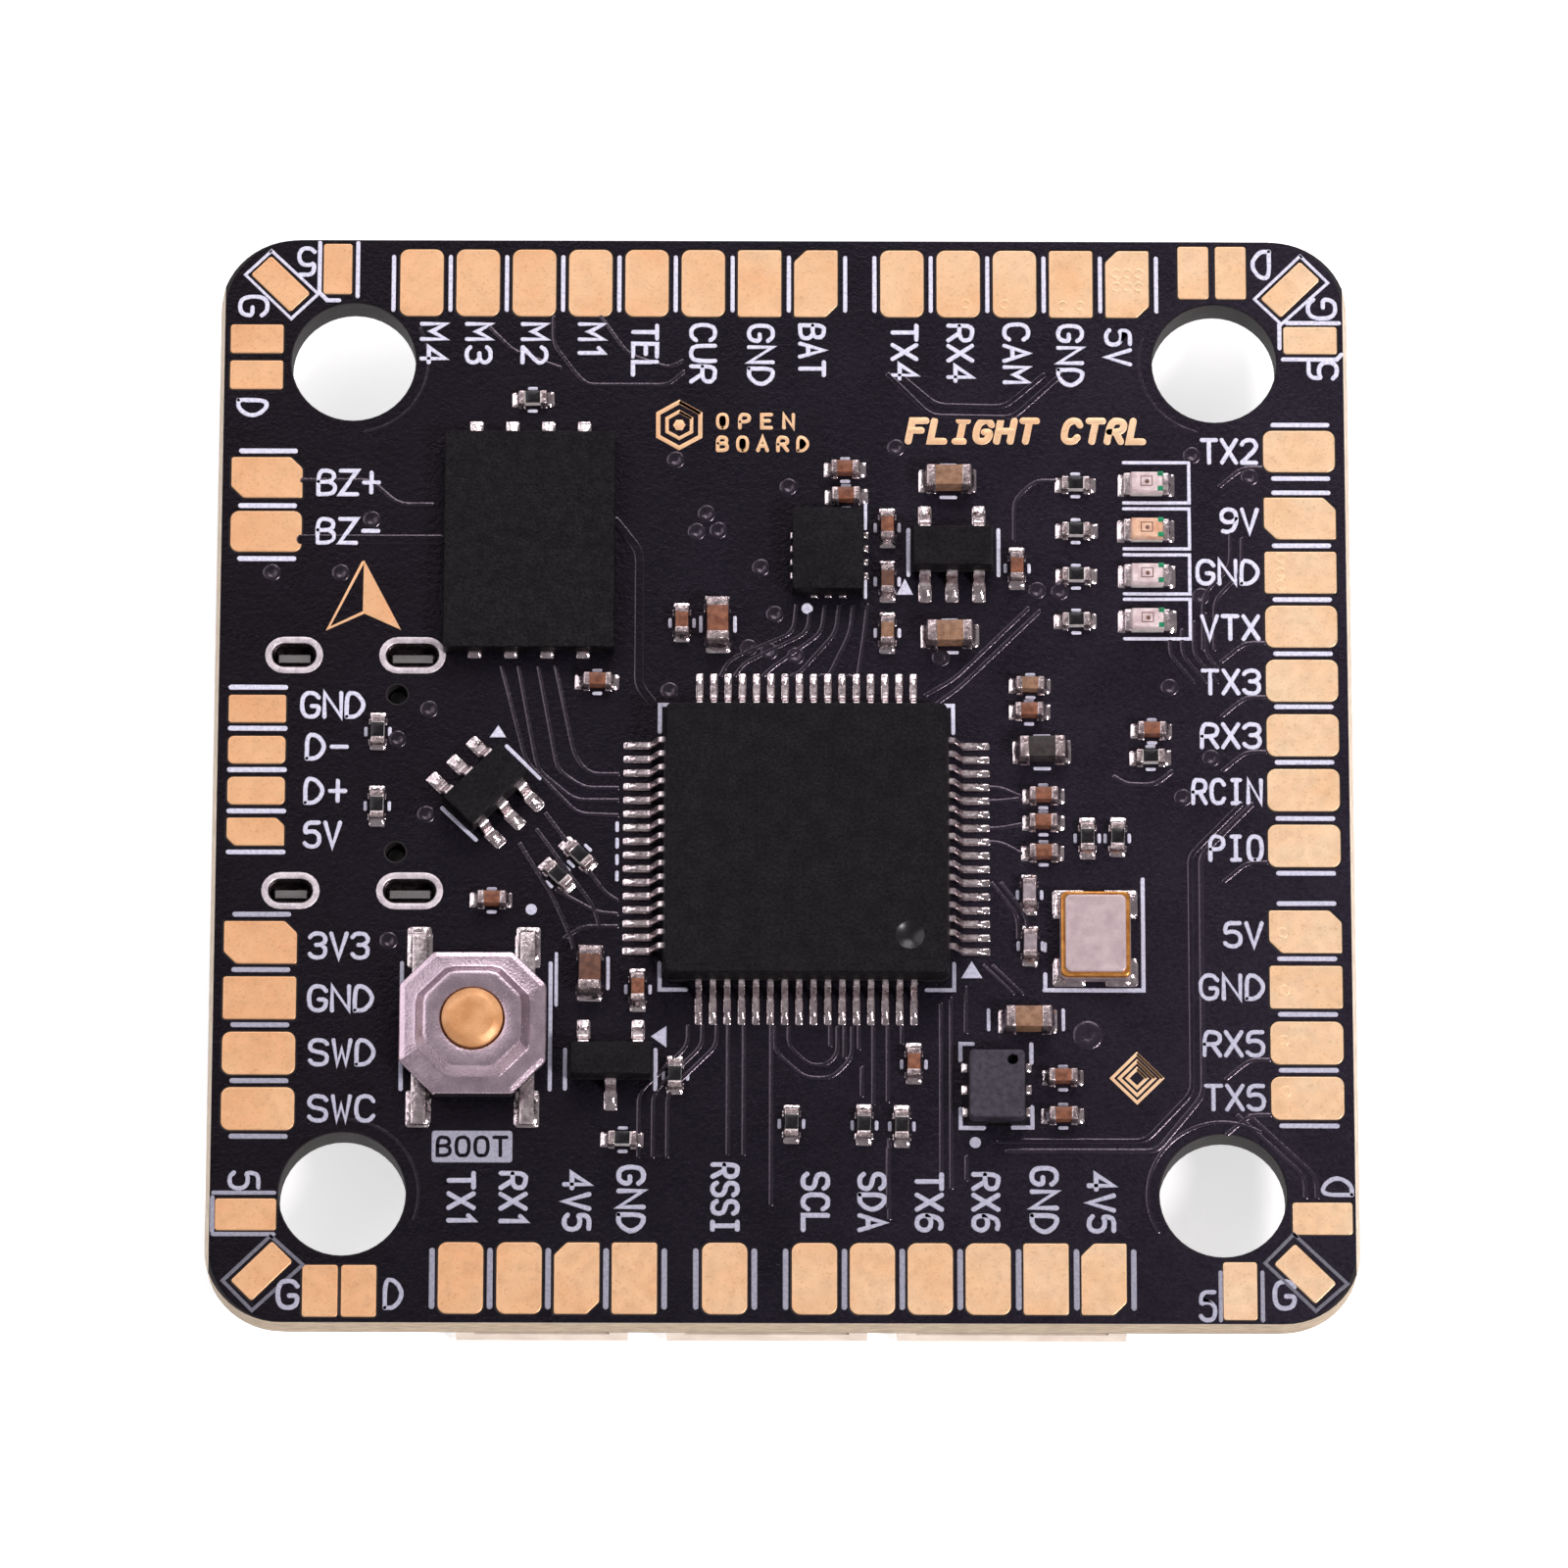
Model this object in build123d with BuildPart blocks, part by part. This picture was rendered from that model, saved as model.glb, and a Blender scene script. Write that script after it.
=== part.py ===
from build123d import *
import os

os.makedirs("parts", exist_ok=True)

# ---------------------------------------------------------------------------
# Flight controller board, millimetres, +Z up (component side), origin at the
# centre of the four mounting holes on the board's lower face.
# ---------------------------------------------------------------------------

# board
BOARD_X = 40.00          # across the bevelled left and right edges
BOARD_Y = 39.66
BOARD_T = 1.40           # lower mask face to upper mask face
CORNER_R = 2.70
EDGE_BEVEL = 0.17        # scored left and right edges lean out by this much
EDGE_BEVEL_H = 0.45
MASK_T = 0.04
HOLE_PITCH = 30.50       # square stack pattern
HOLE_R = 2.20
PAD_T = 0.05             # plated pad, stands a little proud of the mask
PAD_GAP = 0.06           # mask opening round a pad
ZT = BOARD_T

# processor, 64 leads
MCU_X, MCU_Y = 0.81, -2.75
MCU_BODY = 10.0
MCU_H = 1.40
MCU_STANDOFF = 0.10
MCU_PITCH = 0.50
MCU_SPAN = 12.0

# boot switch
SW_X, SW_Y = -10.77, -9.33
SW_BODY = 5.10
SW_TRAVEL = 0.25
SW_PLUNGER_R = 1.06
SW_BORE_R = 1.12

# USB type C receptacle on the lower face, mouth at the left edge
USB_MOUTH_X = -19.80
USB_LEN = 7.30
USB_W = 8.94
USB_H = 3.16
USB_WALL = 0.28
USB_TAB_Y = 4.32
USB_TABS_X = (-17.20, -13.04)
USB_PEGS = (-13.55, 2.89)

# 1.0 mm pitch side-entry sockets on the lower face, mouths at the front edge
SOCKET_FACE_Y = -19.38
SOCKET_DEPTH = 4.25
SOCKET_H = 2.95
SOCKETS = ((4, -8.37), (5, -0.53), (6, 8.00))

C0402 = (1.00, 0.50, 0.50, 0.24)     # length, width, height, cap length
C0603 = (1.60, 0.80, 0.80, 0.36)
R0402 = (1.00, 0.50, 0.35, 0.23)
C0805 = (2.00, 1.25, 1.25, 0.45)

CAP_0402 = [
    (2.17, 11.23, 0), (2.20, 10.23, 0), (-6.54, 3.35, 0), (8.67, 3.23, 0),
    (8.62, 2.26, 0), (12.93, 1.58, 0), (-3.57, 5.53, 90), (3.65, 9.08, 90),
    (3.65, 7.08, 90), (3.65, 5.18, 90), (8.23, 7.58, 90), (9.10, -0.82, 0),
    (9.10, -1.80, 0), (9.10, -2.90, 0), (-10.17, -4.66, 0), (-5.05, -7.88, 90),
    (4.55, -10.57, 90), (9.73, -11.05, 0), (9.73, -12.42, 0),
]
CAP_0603 = [(5.81, 10.82, 0), (5.85, 5.06, 0), (-2.31, 5.49, 90),
            (-6.72, -7.28, 90), (8.55, -9.02, 0)]
LOAD_CAPS = [(8.60, -4.42, 90), (8.62, -6.28, 90)]
FERRITE = [(9.07, 0.80, 0)]
RES_0402 = [
    (-8.89, 13.83, 0), (12.87, 0.60, 0), (-14.22, 1.50, 90), (-14.21, -1.23, 90),
    (10.30, 10.68, 0), (10.30, 8.97, 0), (10.30, 7.28, 0), (10.30, 5.62, 0),
    (-7.12, -3.03, -45), (-7.87, -3.77, -45), (-3.73, -11.00, 90),
    (-5.55, -13.30, 0), (0.30, -12.72, 90), (2.83, -12.77, 90),
    (4.13, -12.80, 90), (10.63, -2.35, 90), (11.68, -2.35, 90),
]
LEDS = [(12.80, 10.68), (12.80, 8.97), (12.80, 7.28), (12.80, 5.62)]

# edge pads: x, y, size x, size y, kind, turn
#   "r" rounded, "s" square, "a" cut top left and bottom right,
#   "b" cut top right and bottom left
PADS = []
for px in (-12.87, -10.87, -8.87, -6.87, -4.87, -2.87, 4.19, 6.19, 8.19):
    PADS.append((px, 18.23, 1.55, 2.52, "r", 0))
PADS += [(-0.87, 18.23, 1.55, 2.52, "s", 0), (1.13, 18.23, 1.55, 2.52, "a", 0),
         (10.19, 18.23, 1.55, 2.52, "s", 0), (12.19, 18.23, 1.55, 2.52, "a", 0)]
for px in (-11.12, -9.10, -2.00, 1.10, 3.10, 5.10, 7.10):
    PADS.append((px, -18.25, 1.57, 2.55, "r", 0))
PADS += [(-7.11, -18.25, 1.57, 2.55, "a", 0), (-5.12, -18.25, 1.57, 2.55, "s", 0),
         (9.10, -18.25, 1.57, 2.55, "s", 0), (11.10, -18.25, 1.57, 2.55, "a", 0)]
PADS += [(-18.26, 10.91, 2.52, 1.52, "b", 0), (-18.26, 8.90, 2.52, 1.52, "r", 0),
         (-18.22, -6.20, 2.55, 1.55, "b", 0), (-18.22, -8.21, 2.55, 1.55, "s", 0),
         (-18.22, -10.21, 2.55, 1.55, "r", 0), (-18.22, -12.21, 2.55, 1.55, "r", 0)]
PADS += [(-18.46, 2.34, 2.02, 1.02, "s", 0), (-18.46, 0.83, 2.02, 1.02, "r", 0),
         (-18.46, -0.67, 2.02, 1.02, "r", 0), (-18.46, -2.17, 2.02, 1.02, "b", 0)]
for py in (11.97, 5.46, 3.46, 1.45, -0.56, -2.60, -9.76, -11.75):
    PADS.append((18.22, py, 2.54, 1.55, "r", 0))
PADS += [(18.22, 9.47, 2.54, 1.55, "b", 0), (18.22, 7.46, 2.54, 1.55, "s", 0),
         (18.22, -5.73, 2.54, 1.55, "b", 0), (18.22, -7.74, 2.54, 1.55, "s", 0)]
# light strip pads round the four corners
PADS += [(-15.86, 18.74, 1.02, 1.90, "s", 0), (-17.89, 18.17, 2.00, 1.00, "s", -45),
         (-18.69, 16.10, 1.88, 1.08, "s", 0), (-18.69, 14.75, 1.88, 1.08, "s", 0),
         (14.54, 18.67, 1.10, 1.98, "s", 0), (15.87, 18.67, 1.10, 1.98, "s", 0),
         (17.99, 18.05, 2.00, 1.00, "s", 45), (18.67, 16.13, 1.90, 1.02, "s", 0),
         (-18.58, -16.00, 2.12, 1.14, "s", 0), (-17.99, -18.02, 2.00, 1.03, "s", 45),
         (-15.97, -18.72, 1.23, 1.85, "s", 0), (-14.63, -18.72, 1.22, 1.85, "s", 0),
         (18.68, -16.07, 2.08, 1.15, "s", 0), (18.05, -18.04, 2.00, 1.04, "s", -45),
         (15.80, -18.66, 1.18, 2.06, "s", 0)]


# ------------------------------------------------------------------ helpers
def draw_pad(w, h, kind, grow=0.0):
    """Draws one pad outline in the sketch that is open."""
    w2, h2 = w / 2 + grow, h / 2 + grow
    c = 0.42 * min(w, h) / 1.5 + grow * 0.6
    if kind == "r":
        RectangleRounded(2 * w2, 2 * h2, 0.30 * min(w, h) / 1.5 + grow)
    elif kind == "s":
        RectangleRounded(2 * w2, 2 * h2, 0.10 + grow)
    elif kind == "a":
        Polygon((-w2 + c, h2), (w2, h2), (w2, -h2 + c), (w2 - c, -h2),
                (-w2, -h2), (-w2, h2 - c), align=None)
    else:
        Polygon((-w2, h2), (w2 - c, h2), (w2, h2 - c), (w2, -h2),
                (-w2 + c, -h2), (-w2, -h2 + c), align=None)


def moulded(x, y, w, l, z0, zs, z1, draft, turn=0):
    """Moulded package: widest at the parting line zs, drafted both ways."""
    with BuildPart() as body:
        for z, d in ((z0, draft * (zs - z0)), (zs, 0.0), (z1, draft * (z1 - zs))):
            with BuildSketch(Plane.XY.offset(z)):
                with Locations((x, y)):
                    Rectangle(w - 2 * abs(d), l - 2 * abs(d), rotation=turn)
        loft(ruled=True)
    return body.part


def spots(chips, z):
    """Places for a list of chips whose boxes stand on height z."""
    return [Location((x, y, z), (0, 0, a)) for x, y, a in chips]


FOOT = (Align.CENTER, Align.CENTER, Align.MIN)
HANG = (Align.CENTER, Align.CENTER, Align.MAX)
CAP_WALL = 0.02


def chip_bodies(chips, dims, z, up=True):
    """Ceramic blocks; their ends sit inside the metal end caps."""
    L, W, H, E = dims
    with Locations(*spots(chips, z + (CAP_WALL if up else -CAP_WALL))):
        Box(L - 2 * CAP_WALL, W - 2 * CAP_WALL, H - 2 * CAP_WALL,
            align=FOOT if up else HANG)


def chip_caps(chips, dims, z, up=True):
    """Metal end caps wrapped round both ends of each block."""
    L, W, H, E = dims
    al = FOOT if up else HANG
    with Locations(*spots(chips, z)):
        Box(L, W, H, align=al)
    with Locations(*spots(chips, z + (-0.1 if up else 0.1))):
        Box(L - 2 * E, W + 0.4, H + 0.4, align=al, mode=Mode.SUBTRACT)
    with Locations(*spots(chips, z + (CAP_WALL if up else -CAP_WALL))):
        Box(L - 2 * CAP_WALL, W - 2 * CAP_WALL, H - 2 * CAP_WALL, align=al,
            mode=Mode.SUBTRACT)


def gull(reach, foot, rise, t):
    """Side outline of a formed lead: leaves the package at x = 0 and height
    rise, ends at x = reach on height 0."""
    s = reach - foot
    a = 0.35 * s
    return ((0, rise + t / 2), (a, rise + t / 2), (s, t), (reach, t),
            (reach, 0), (s - 0.35 * t, 0), (a - 0.35 * t, rise - t / 2),
            (0, rise - t / 2), (0, rise + t / 2))


# ------------------------------------------------------------------- board
TEAR = [(USB_TABS_X[0], 1.60, 0.90), (USB_TABS_X[1], 1.90, 0.90)]

with BuildPart() as pcb_laminate:
    hx, zb, zt2 = BOARD_X / 2, MASK_T, BOARD_T - MASK_T
    with BuildSketch(Plane.XZ.offset(-BOARD_Y / 2)):
        with BuildLine():
            Polyline((-hx + EDGE_BEVEL, zb), (hx - EDGE_BEVEL, zb),
                     (hx, zb + EDGE_BEVEL_H), (hx, zt2 - EDGE_BEVEL_H),
                     (hx - EDGE_BEVEL, zt2), (-hx + EDGE_BEVEL, zt2),
                     (-hx, zt2 - EDGE_BEVEL_H), (-hx, zb + EDGE_BEVEL_H),
                     (-hx + EDGE_BEVEL, zb))
        make_face()
    extrude(amount=BOARD_Y)
    with BuildSketch(Plane.XY):
        RectangleRounded(BOARD_X, BOARD_Y, CORNER_R)
    extrude(amount=BOARD_T, mode=Mode.INTERSECT)
    with BuildSketch(Plane.XY):
        with GridLocations(HOLE_PITCH, HOLE_PITCH, 2, 2):
            Circle(HOLE_R)
        for tx, tl, tw in TEAR:
            with Locations((tx, USB_TAB_Y), (tx, -USB_TAB_Y)):
                SlotOverall(tl, tw)
        with Locations((USB_PEGS[0], USB_PEGS[1]), (USB_PEGS[0], -USB_PEGS[1])):
            Circle(0.36)
    extrude(amount=BOARD_T, mode=Mode.SUBTRACT)
pcb_laminate.part.label = "pcb_laminate"

MASK_X = BOARD_X - 2 * EDGE_BEVEL

with BuildPart() as solder_mask_top:
    with BuildSketch(Plane.XY.offset(BOARD_T - MASK_T)):
        RectangleRounded(MASK_X, BOARD_Y, CORNER_R - 0.02)
        with GridLocations(HOLE_PITCH, HOLE_PITCH, 2, 2):
            Circle(HOLE_R + 0.05, mode=Mode.SUBTRACT)
        for tx, tl, tw in TEAR:
            with Locations((tx, USB_TAB_Y), (tx, -USB_TAB_Y)):
                SlotOverall(tl + 0.50, tw + 0.50, mode=Mode.SUBTRACT)
        with Locations((USB_PEGS[0], USB_PEGS[1]), (USB_PEGS[0], -USB_PEGS[1])):
            Circle(0.42, mode=Mode.SUBTRACT)
    extrude(amount=MASK_T)
    with BuildSketch(Plane.XY.offset(BOARD_T - MASK_T)):
        for px, py, w, h, kind, turn in PADS:
            with Locations(Location((px, py, 0), (0, 0, turn))):
                draw_pad(w, h, kind, PAD_GAP)
    extrude(amount=MASK_T, mode=Mode.SUBTRACT)
solder_mask_top.part.label = "solder_mask_top"

with BuildPart() as solder_mask_bottom:
    with BuildSketch(Plane.XY):
        RectangleRounded(MASK_X, BOARD_Y, CORNER_R - 0.02)
        with GridLocations(HOLE_PITCH, HOLE_PITCH, 2, 2):
            Circle(HOLE_R, mode=Mode.SUBTRACT)
        for tx, tl, tw in TEAR:
            with Locations((tx, USB_TAB_Y), (tx, -USB_TAB_Y)):
                SlotOverall(tl + 0.50, tw + 0.50, mode=Mode.SUBTRACT)
        with Locations((USB_PEGS[0], USB_PEGS[1]), (USB_PEGS[0], -USB_PEGS[1])):
            Circle(0.42, mode=Mode.SUBTRACT)
    extrude(amount=MASK_T)
solder_mask_bottom.part.label = "solder_mask_bottom"

with BuildPart() as solder_pads:
    with BuildSketch(Plane.XY.offset(BOARD_T - MASK_T)):
        for px, py, w, h, kind, turn in PADS:
            with Locations(Location((px, py, 0), (0, 0, turn))):
                draw_pad(w, h, kind)
    extrude(amount=PAD_T)
solder_pads.part.label = "solder_pads"

with BuildPart() as usb_slot_plating:
    for z, d in ((0.0, MASK_T), (BOARD_T - MASK_T, MASK_T)):
        with BuildSketch(Plane.XY.offset(z)):
            for tx, tl, tw in TEAR:
                with Locations((tx, USB_TAB_Y), (tx, -USB_TAB_Y)):
                    SlotOverall(tl + 0.36, tw + 0.36)
        extrude(amount=d)
    with BuildSketch(Plane.XY):
        for tx, tl, tw in TEAR:
            with Locations((tx, USB_TAB_Y), (tx, -USB_TAB_Y)):
                SlotOverall(tl, tw)
    extrude(amount=BOARD_T)
    with BuildSketch(Plane.XY.offset(-0.1)):
        for tx, tl, tw in TEAR:
            with Locations((tx, USB_TAB_Y), (tx, -USB_TAB_Y)):
                SlotOverall(tl - 0.10, tw - 0.10)
    extrude(amount=BOARD_T + 0.2, mode=Mode.SUBTRACT)
usb_slot_plating.part.label = "usb_slot_plating"

# --------------------------------------------------------------- processor
mcu_block = moulded(MCU_X, MCU_Y, MCU_BODY, MCU_BODY, ZT + MCU_STANDOFF,
                    ZT + MCU_STANDOFF + 0.65, ZT + MCU_STANDOFF + MCU_H, 0.14)
with BuildPart() as mcu_package:
    add(mcu_block)
    with BuildSketch(Plane.XY.offset(ZT + MCU_STANDOFF + MCU_H)):
        with Locations((MCU_X + 3.60, MCU_Y - 3.55)):
            Circle(0.50)
    extrude(amount=-0.10, mode=Mode.SUBTRACT)
mcu_package.part.label = "mcu_package"

MCU_RISE = MCU_STANDOFF + 0.65
MCU_REACH = (MCU_SPAN - MCU_BODY) / 2
with BuildPart() as mcu_lead:
    with BuildSketch(Plane.XZ.offset(-0.11)):
        with BuildLine():
            Polyline(*gull(MCU_REACH, 0.55, MCU_RISE, 0.13))
        make_face()
    extrude(amount=0.22)

with BuildPart() as mcu_leads:
    row = [(i - 7.5) * MCU_PITCH for i in range(16)]
    half = MCU_BODY / 2
    places = [Location((MCU_X + half, MCU_Y + r, ZT), (0, 0, 0)) for r in row]
    places += [Location((MCU_X - half, MCU_Y + r, ZT), (0, 0, 180)) for r in row]
    places += [Location((MCU_X + r, MCU_Y + half, ZT), (0, 0, 90)) for r in row]
    places += [Location((MCU_X + r, MCU_Y - half, ZT), (0, 0, -90)) for r in row]
    with Locations(*places):
        add(mcu_lead.part)
mcu_leads.part.label = "mcu_leads"

# ------------------------------------------------------------ flash memory
FL_X, FL_Y, FL_W, FL_L, FL_H = -8.95, 8.40, 6.00, 8.00, 0.80
with BuildPart() as flash_package:
    with BuildSketch(Plane.XY.offset(ZT + 0.02)):
        with Locations((FL_X, FL_Y)):
            Rectangle(FL_W, FL_L)
    extrude(amount=FL_H - 0.02)
    with BuildSketch(Plane.XY.offset(ZT + 0.02)):
        for fx in (-1.905, -0.635, 0.635, 1.905):
            with Locations((FL_X + fx, FL_Y + FL_L / 2 - 0.24),
                           (FL_X + fx, FL_Y - FL_L / 2 + 0.24)):
                Rectangle(0.42, 0.50)
    extrude(amount=0.20, mode=Mode.SUBTRACT)
flash_package.part.label = "flash_package"

with BuildPart() as flash_terminals:
    with BuildSketch(Plane.XY.offset(ZT)):
        for fx in (-1.905, -0.635, 0.635, 1.905):
            with Locations((FL_X + fx, FL_Y + FL_L / 2 - 0.24),
                           (FL_X + fx, FL_Y - FL_L / 2 + 0.24)):
                Rectangle(0.42, 0.50)
    extrude(amount=0.22)
    with BuildSketch(Plane.XY.offset(ZT)):
        with Locations((FL_X, FL_Y)):
            Rectangle(3.40, 4.30)
    extrude(amount=0.02)
flash_terminals.part.label = "flash_terminals"

# ----------------------------------------------------------- motion sensor
IM_X, IM_Y, IM_W, IM_L, IM_H = 1.57, 8.05, 2.50, 3.00, 0.91
with BuildPart() as imu_package:
    with BuildSketch(Plane.XY.offset(ZT + 0.03)):
        with Locations((IM_X, IM_Y)):
            Rectangle(IM_W, IM_L)
    extrude(amount=IM_H - 0.03)
imu_package.part.label = "imu_package"

with BuildPart() as imu_terminals:
    with BuildSketch(Plane.XY.offset(ZT)):
        for k in (-0.75, -0.25, 0.25, 0.75):
            with Locations((IM_X + IM_W / 2 - 0.21, IM_Y + k),
                           (IM_X - IM_W / 2 + 0.21, IM_Y + k)):
                Rectangle(0.42, 0.25)
        for k in (-0.5, 0.0, 0.5):
            with Locations((IM_X + k, IM_Y + IM_L / 2 - 0.21),
                           (IM_X + k, IM_Y - IM_L / 2 + 0.21)):
                Rectangle(0.25, 0.42)
    extrude(amount=0.03)
imu_terminals.part.label = "imu_terminals"

# --------------------------------------------------------------- barometer
BA_X, BA_Y, BA_W, BA_L, BA_H = 7.42, -11.48, 2.04, 2.54, 0.95
with BuildPart() as barometer_base:
    with BuildSketch(Plane.XY.offset(ZT)):
        with Locations((BA_X, BA_Y)):
            Rectangle(BA_W, BA_L)
    extrude(amount=0.26)
barometer_base.part.label = "barometer_base"

with BuildPart() as barometer_lid:
    with BuildSketch(Plane.XY.offset(ZT + 0.26)):
        with Locations((BA_X, BA_Y)):
            RectangleRounded(BA_W - 0.10, BA_L - 0.10, 0.16)
    extrude(amount=BA_H - 0.26)
    fillet(barometer_lid.faces().sort_by(Axis.Z)[-1].edges(), 0.08)
    with BuildSketch(Plane.XY.offset(ZT + 0.26)):
        with Locations((BA_X, BA_Y)):
            RectangleRounded(BA_W - 0.36, BA_L - 0.36, 0.06)
    extrude(amount=BA_H - 0.26 - 0.12, mode=Mode.SUBTRACT)
    with BuildSketch(Plane.XY.offset(ZT + 0.30)):
        with Locations((BA_X + 0.55, BA_Y + 0.86)):
            Circle(0.19)
    extrude(amount=BA_H, mode=Mode.SUBTRACT)
barometer_lid.part.label = "barometer_lid"

# ----------------------------------------------------------------- crystal
XT_X, XT_Y, XT_W, XT_L, XT_H = 10.88, -6.00, 2.46, 3.14, 0.75
with BuildPart() as crystal_base:
    with BuildSketch(Plane.XY.offset(ZT)):
        with Locations((XT_X, XT_Y)):
            RectangleRounded(XT_W, XT_L, 0.18)
    extrude(amount=0.45)
    with BuildSketch(Plane.XY.offset(ZT + 0.20)):
        with Locations((XT_X, XT_Y)):
            Rectangle(XT_W - 0.9, XT_L - 0.9)
    extrude(amount=0.30, mode=Mode.SUBTRACT)
crystal_base.part.label = "crystal_base"

with BuildPart() as crystal_seam_ring:
    with BuildSketch(Plane.XY.offset(ZT + 0.45)):
        with Locations((XT_X, XT_Y)):
            RectangleRounded(XT_W - 0.04, XT_L - 0.04, 0.22)
            RectangleRounded(XT_W - 0.9, XT_L - 0.9, 0.12, mode=Mode.SUBTRACT)
    extrude(amount=0.20)
crystal_seam_ring.part.label = "crystal_seam_ring"

with BuildPart() as crystal_lid:
    with BuildSketch(Plane.XY.offset(ZT + 0.65)):
        with Locations((XT_X, XT_Y)):
            RectangleRounded(XT_W - 0.34, XT_L - 0.34, 0.20)
    extrude(amount=XT_H - 0.65)
    fillet(crystal_lid.faces().sort_by(Axis.Z)[-1].edges(), 0.05)
crystal_lid.part.label = "crystal_lid"

# ------------------------------------------------- small moulded packages
SOT_RISE, SOT_T = 0.55, 0.13


with BuildPart() as sot_narrow_lead:
    with BuildSketch(Plane.XZ.offset(-0.20)):
        with BuildLine():
            Polyline(*gull(0.62, 0.32, SOT_RISE, SOT_T))
        make_face()
    extrude(amount=0.40)

RG_X, RG_Y = 5.93, 8.10
regulator_block = moulded(RG_X, RG_Y, 2.90, 1.60, ZT + 0.05, ZT + SOT_RISE, ZT + 1.10, 0.16)
with BuildPart() as regulator_package:
    add(regulator_block)
regulator_package.part.label = "regulator_package"

with BuildPart() as regulator_leads:
    with Locations(*[Location((RG_X + k, RG_Y + 0.80, ZT), (0, 0, 90)) for k in (-0.95, 0.95)],
                   *[Location((RG_X + k, RG_Y - 0.80, ZT), (0, 0, -90)) for k in (-0.95, 0, 0.95)]):
        add(sot_narrow_lead.part)
regulator_leads.part.label = "regulator_leads"

# surge protection array beside the USB socket, set at 45 degrees
ES_X, ES_Y, ES_A = -10.40, -0.72, 45
usb_esd_block = moulded(ES_X, ES_Y, 2.90, 1.60, ZT + 0.05, ZT + SOT_RISE, ZT + 1.10, 0.16, ES_A)
with BuildPart() as usb_esd_package:
    add(usb_esd_block)
usb_esd_package.part.label = "usb_esd_package"

with BuildPart() as usb_esd_leads:
    places = []
    for k in (-0.95, 0.0, 0.95):
        ux, uy = 0.70711 * k, 0.70711 * k
        vx, vy = -0.70711 * 0.80, 0.70711 * 0.80
        places.append(Location((ES_X + ux + vx, ES_Y + uy + vy, ZT), (0, 0, 135)))
        places.append(Location((ES_X + ux - vx, ES_Y + uy - vy, ZT), (0, 0, -45)))
    with Locations(*places):
        add(sot_narrow_lead.part)
usb_esd_leads.part.label = "usb_esd_leads"

TR_X, TR_Y = -5.98, -10.62
transistor_block = moulded(TR_X, TR_Y, 2.90, 1.30, ZT + 0.05, ZT + SOT_RISE, ZT + 1.05, 0.16)
with BuildPart() as transistor_package:
    add(transistor_block)
transistor_package.part.label = "transistor_package"

with BuildPart() as transistor_leads:
    with Locations(Location((TR_X - 0.95, TR_Y + 0.65, ZT), (0, 0, 90)),
                   Location((TR_X + 0.95, TR_Y + 0.65, ZT), (0, 0, 90)),
                   Location((TR_X, TR_Y - 0.65, ZT), (0, 0, -90))):
        add(sot_narrow_lead.part)
transistor_leads.part.label = "transistor_leads"

# ------------------------------------------------------- chip components
with BuildPart() as capacitor_0402_bodies:
    chip_bodies(CAP_0402, C0402, ZT)
capacitor_0402_bodies.part.label = "capacitor_0402_bodies"

with BuildPart() as capacitor_0402_terminals:
    chip_caps(CAP_0402, C0402, ZT)
capacitor_0402_terminals.part.label = "capacitor_0402_terminals"

with BuildPart() as capacitor_0603_bodies:
    chip_bodies(CAP_0603, C0603, ZT)
capacitor_0603_bodies.part.label = "capacitor_0603_bodies"

with BuildPart() as capacitor_0603_terminals:
    chip_caps(CAP_0603, C0603, ZT)
capacitor_0603_terminals.part.label = "capacitor_0603_terminals"

with BuildPart() as load_capacitor_bodies:
    chip_bodies(LOAD_CAPS, C0402, ZT)
load_capacitor_bodies.part.label = "load_capacitor_bodies"

with BuildPart() as load_capacitor_terminals:
    chip_caps(LOAD_CAPS, C0402, ZT)
load_capacitor_terminals.part.label = "load_capacitor_terminals"

with BuildPart() as ferrite_bead_body:
    chip_bodies(FERRITE, C0603, ZT)
ferrite_bead_body.part.label = "ferrite_bead_body"

with BuildPart() as ferrite_bead_terminals:
    chip_caps(FERRITE, C0603, ZT)
ferrite_bead_terminals.part.label = "ferrite_bead_terminals"

with BuildPart() as resistor_substrates:
    chip_bodies(RES_0402, R0402, ZT)
resistor_substrates.part.label = "resistor_substrates"

with BuildPart() as resistor_terminals:
    chip_caps(RES_0402, R0402, ZT)
resistor_terminals.part.label = "resistor_terminals"

with BuildPart() as resistor_coatings:
    with Locations(*spots(RES_0402, ZT + R0402[2] - CAP_WALL)):
        Box(R0402[0] - 2 * R0402[3] - 0.02, R0402[1] - 0.06, 0.03, align=FOOT)
resistor_coatings.part.label = "resistor_coatings"

# ------------------------------------------------------------ status lamps
LED_L, LED_W, LED_H = 1.60, 0.80, 0.55
LED_SPOTS = [(x, y, 0) for x, y in LEDS]
with BuildPart() as led_bases:
    with Locations(*spots(LED_SPOTS, ZT + 0.02)):
        Box(LED_L - 0.50, LED_W, 0.22, align=FOOT)
led_bases.part.label = "led_bases"

with BuildPart() as led_terminals:
    with Locations(*[Location((x + s * (LED_L / 2 - 0.125), y, ZT)) for x, y in LEDS
                     for s in (-1, 1)]):
        Box(0.25, LED_W, 0.24, align=FOOT)
led_terminals.part.label = "led_terminals"

with BuildPart() as led_dies:
    with Locations(*spots(LED_SPOTS, ZT + 0.24)):
        Box(0.24, 0.20, 0.10, align=FOOT)
led_dies.part.label = "led_dies"

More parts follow.
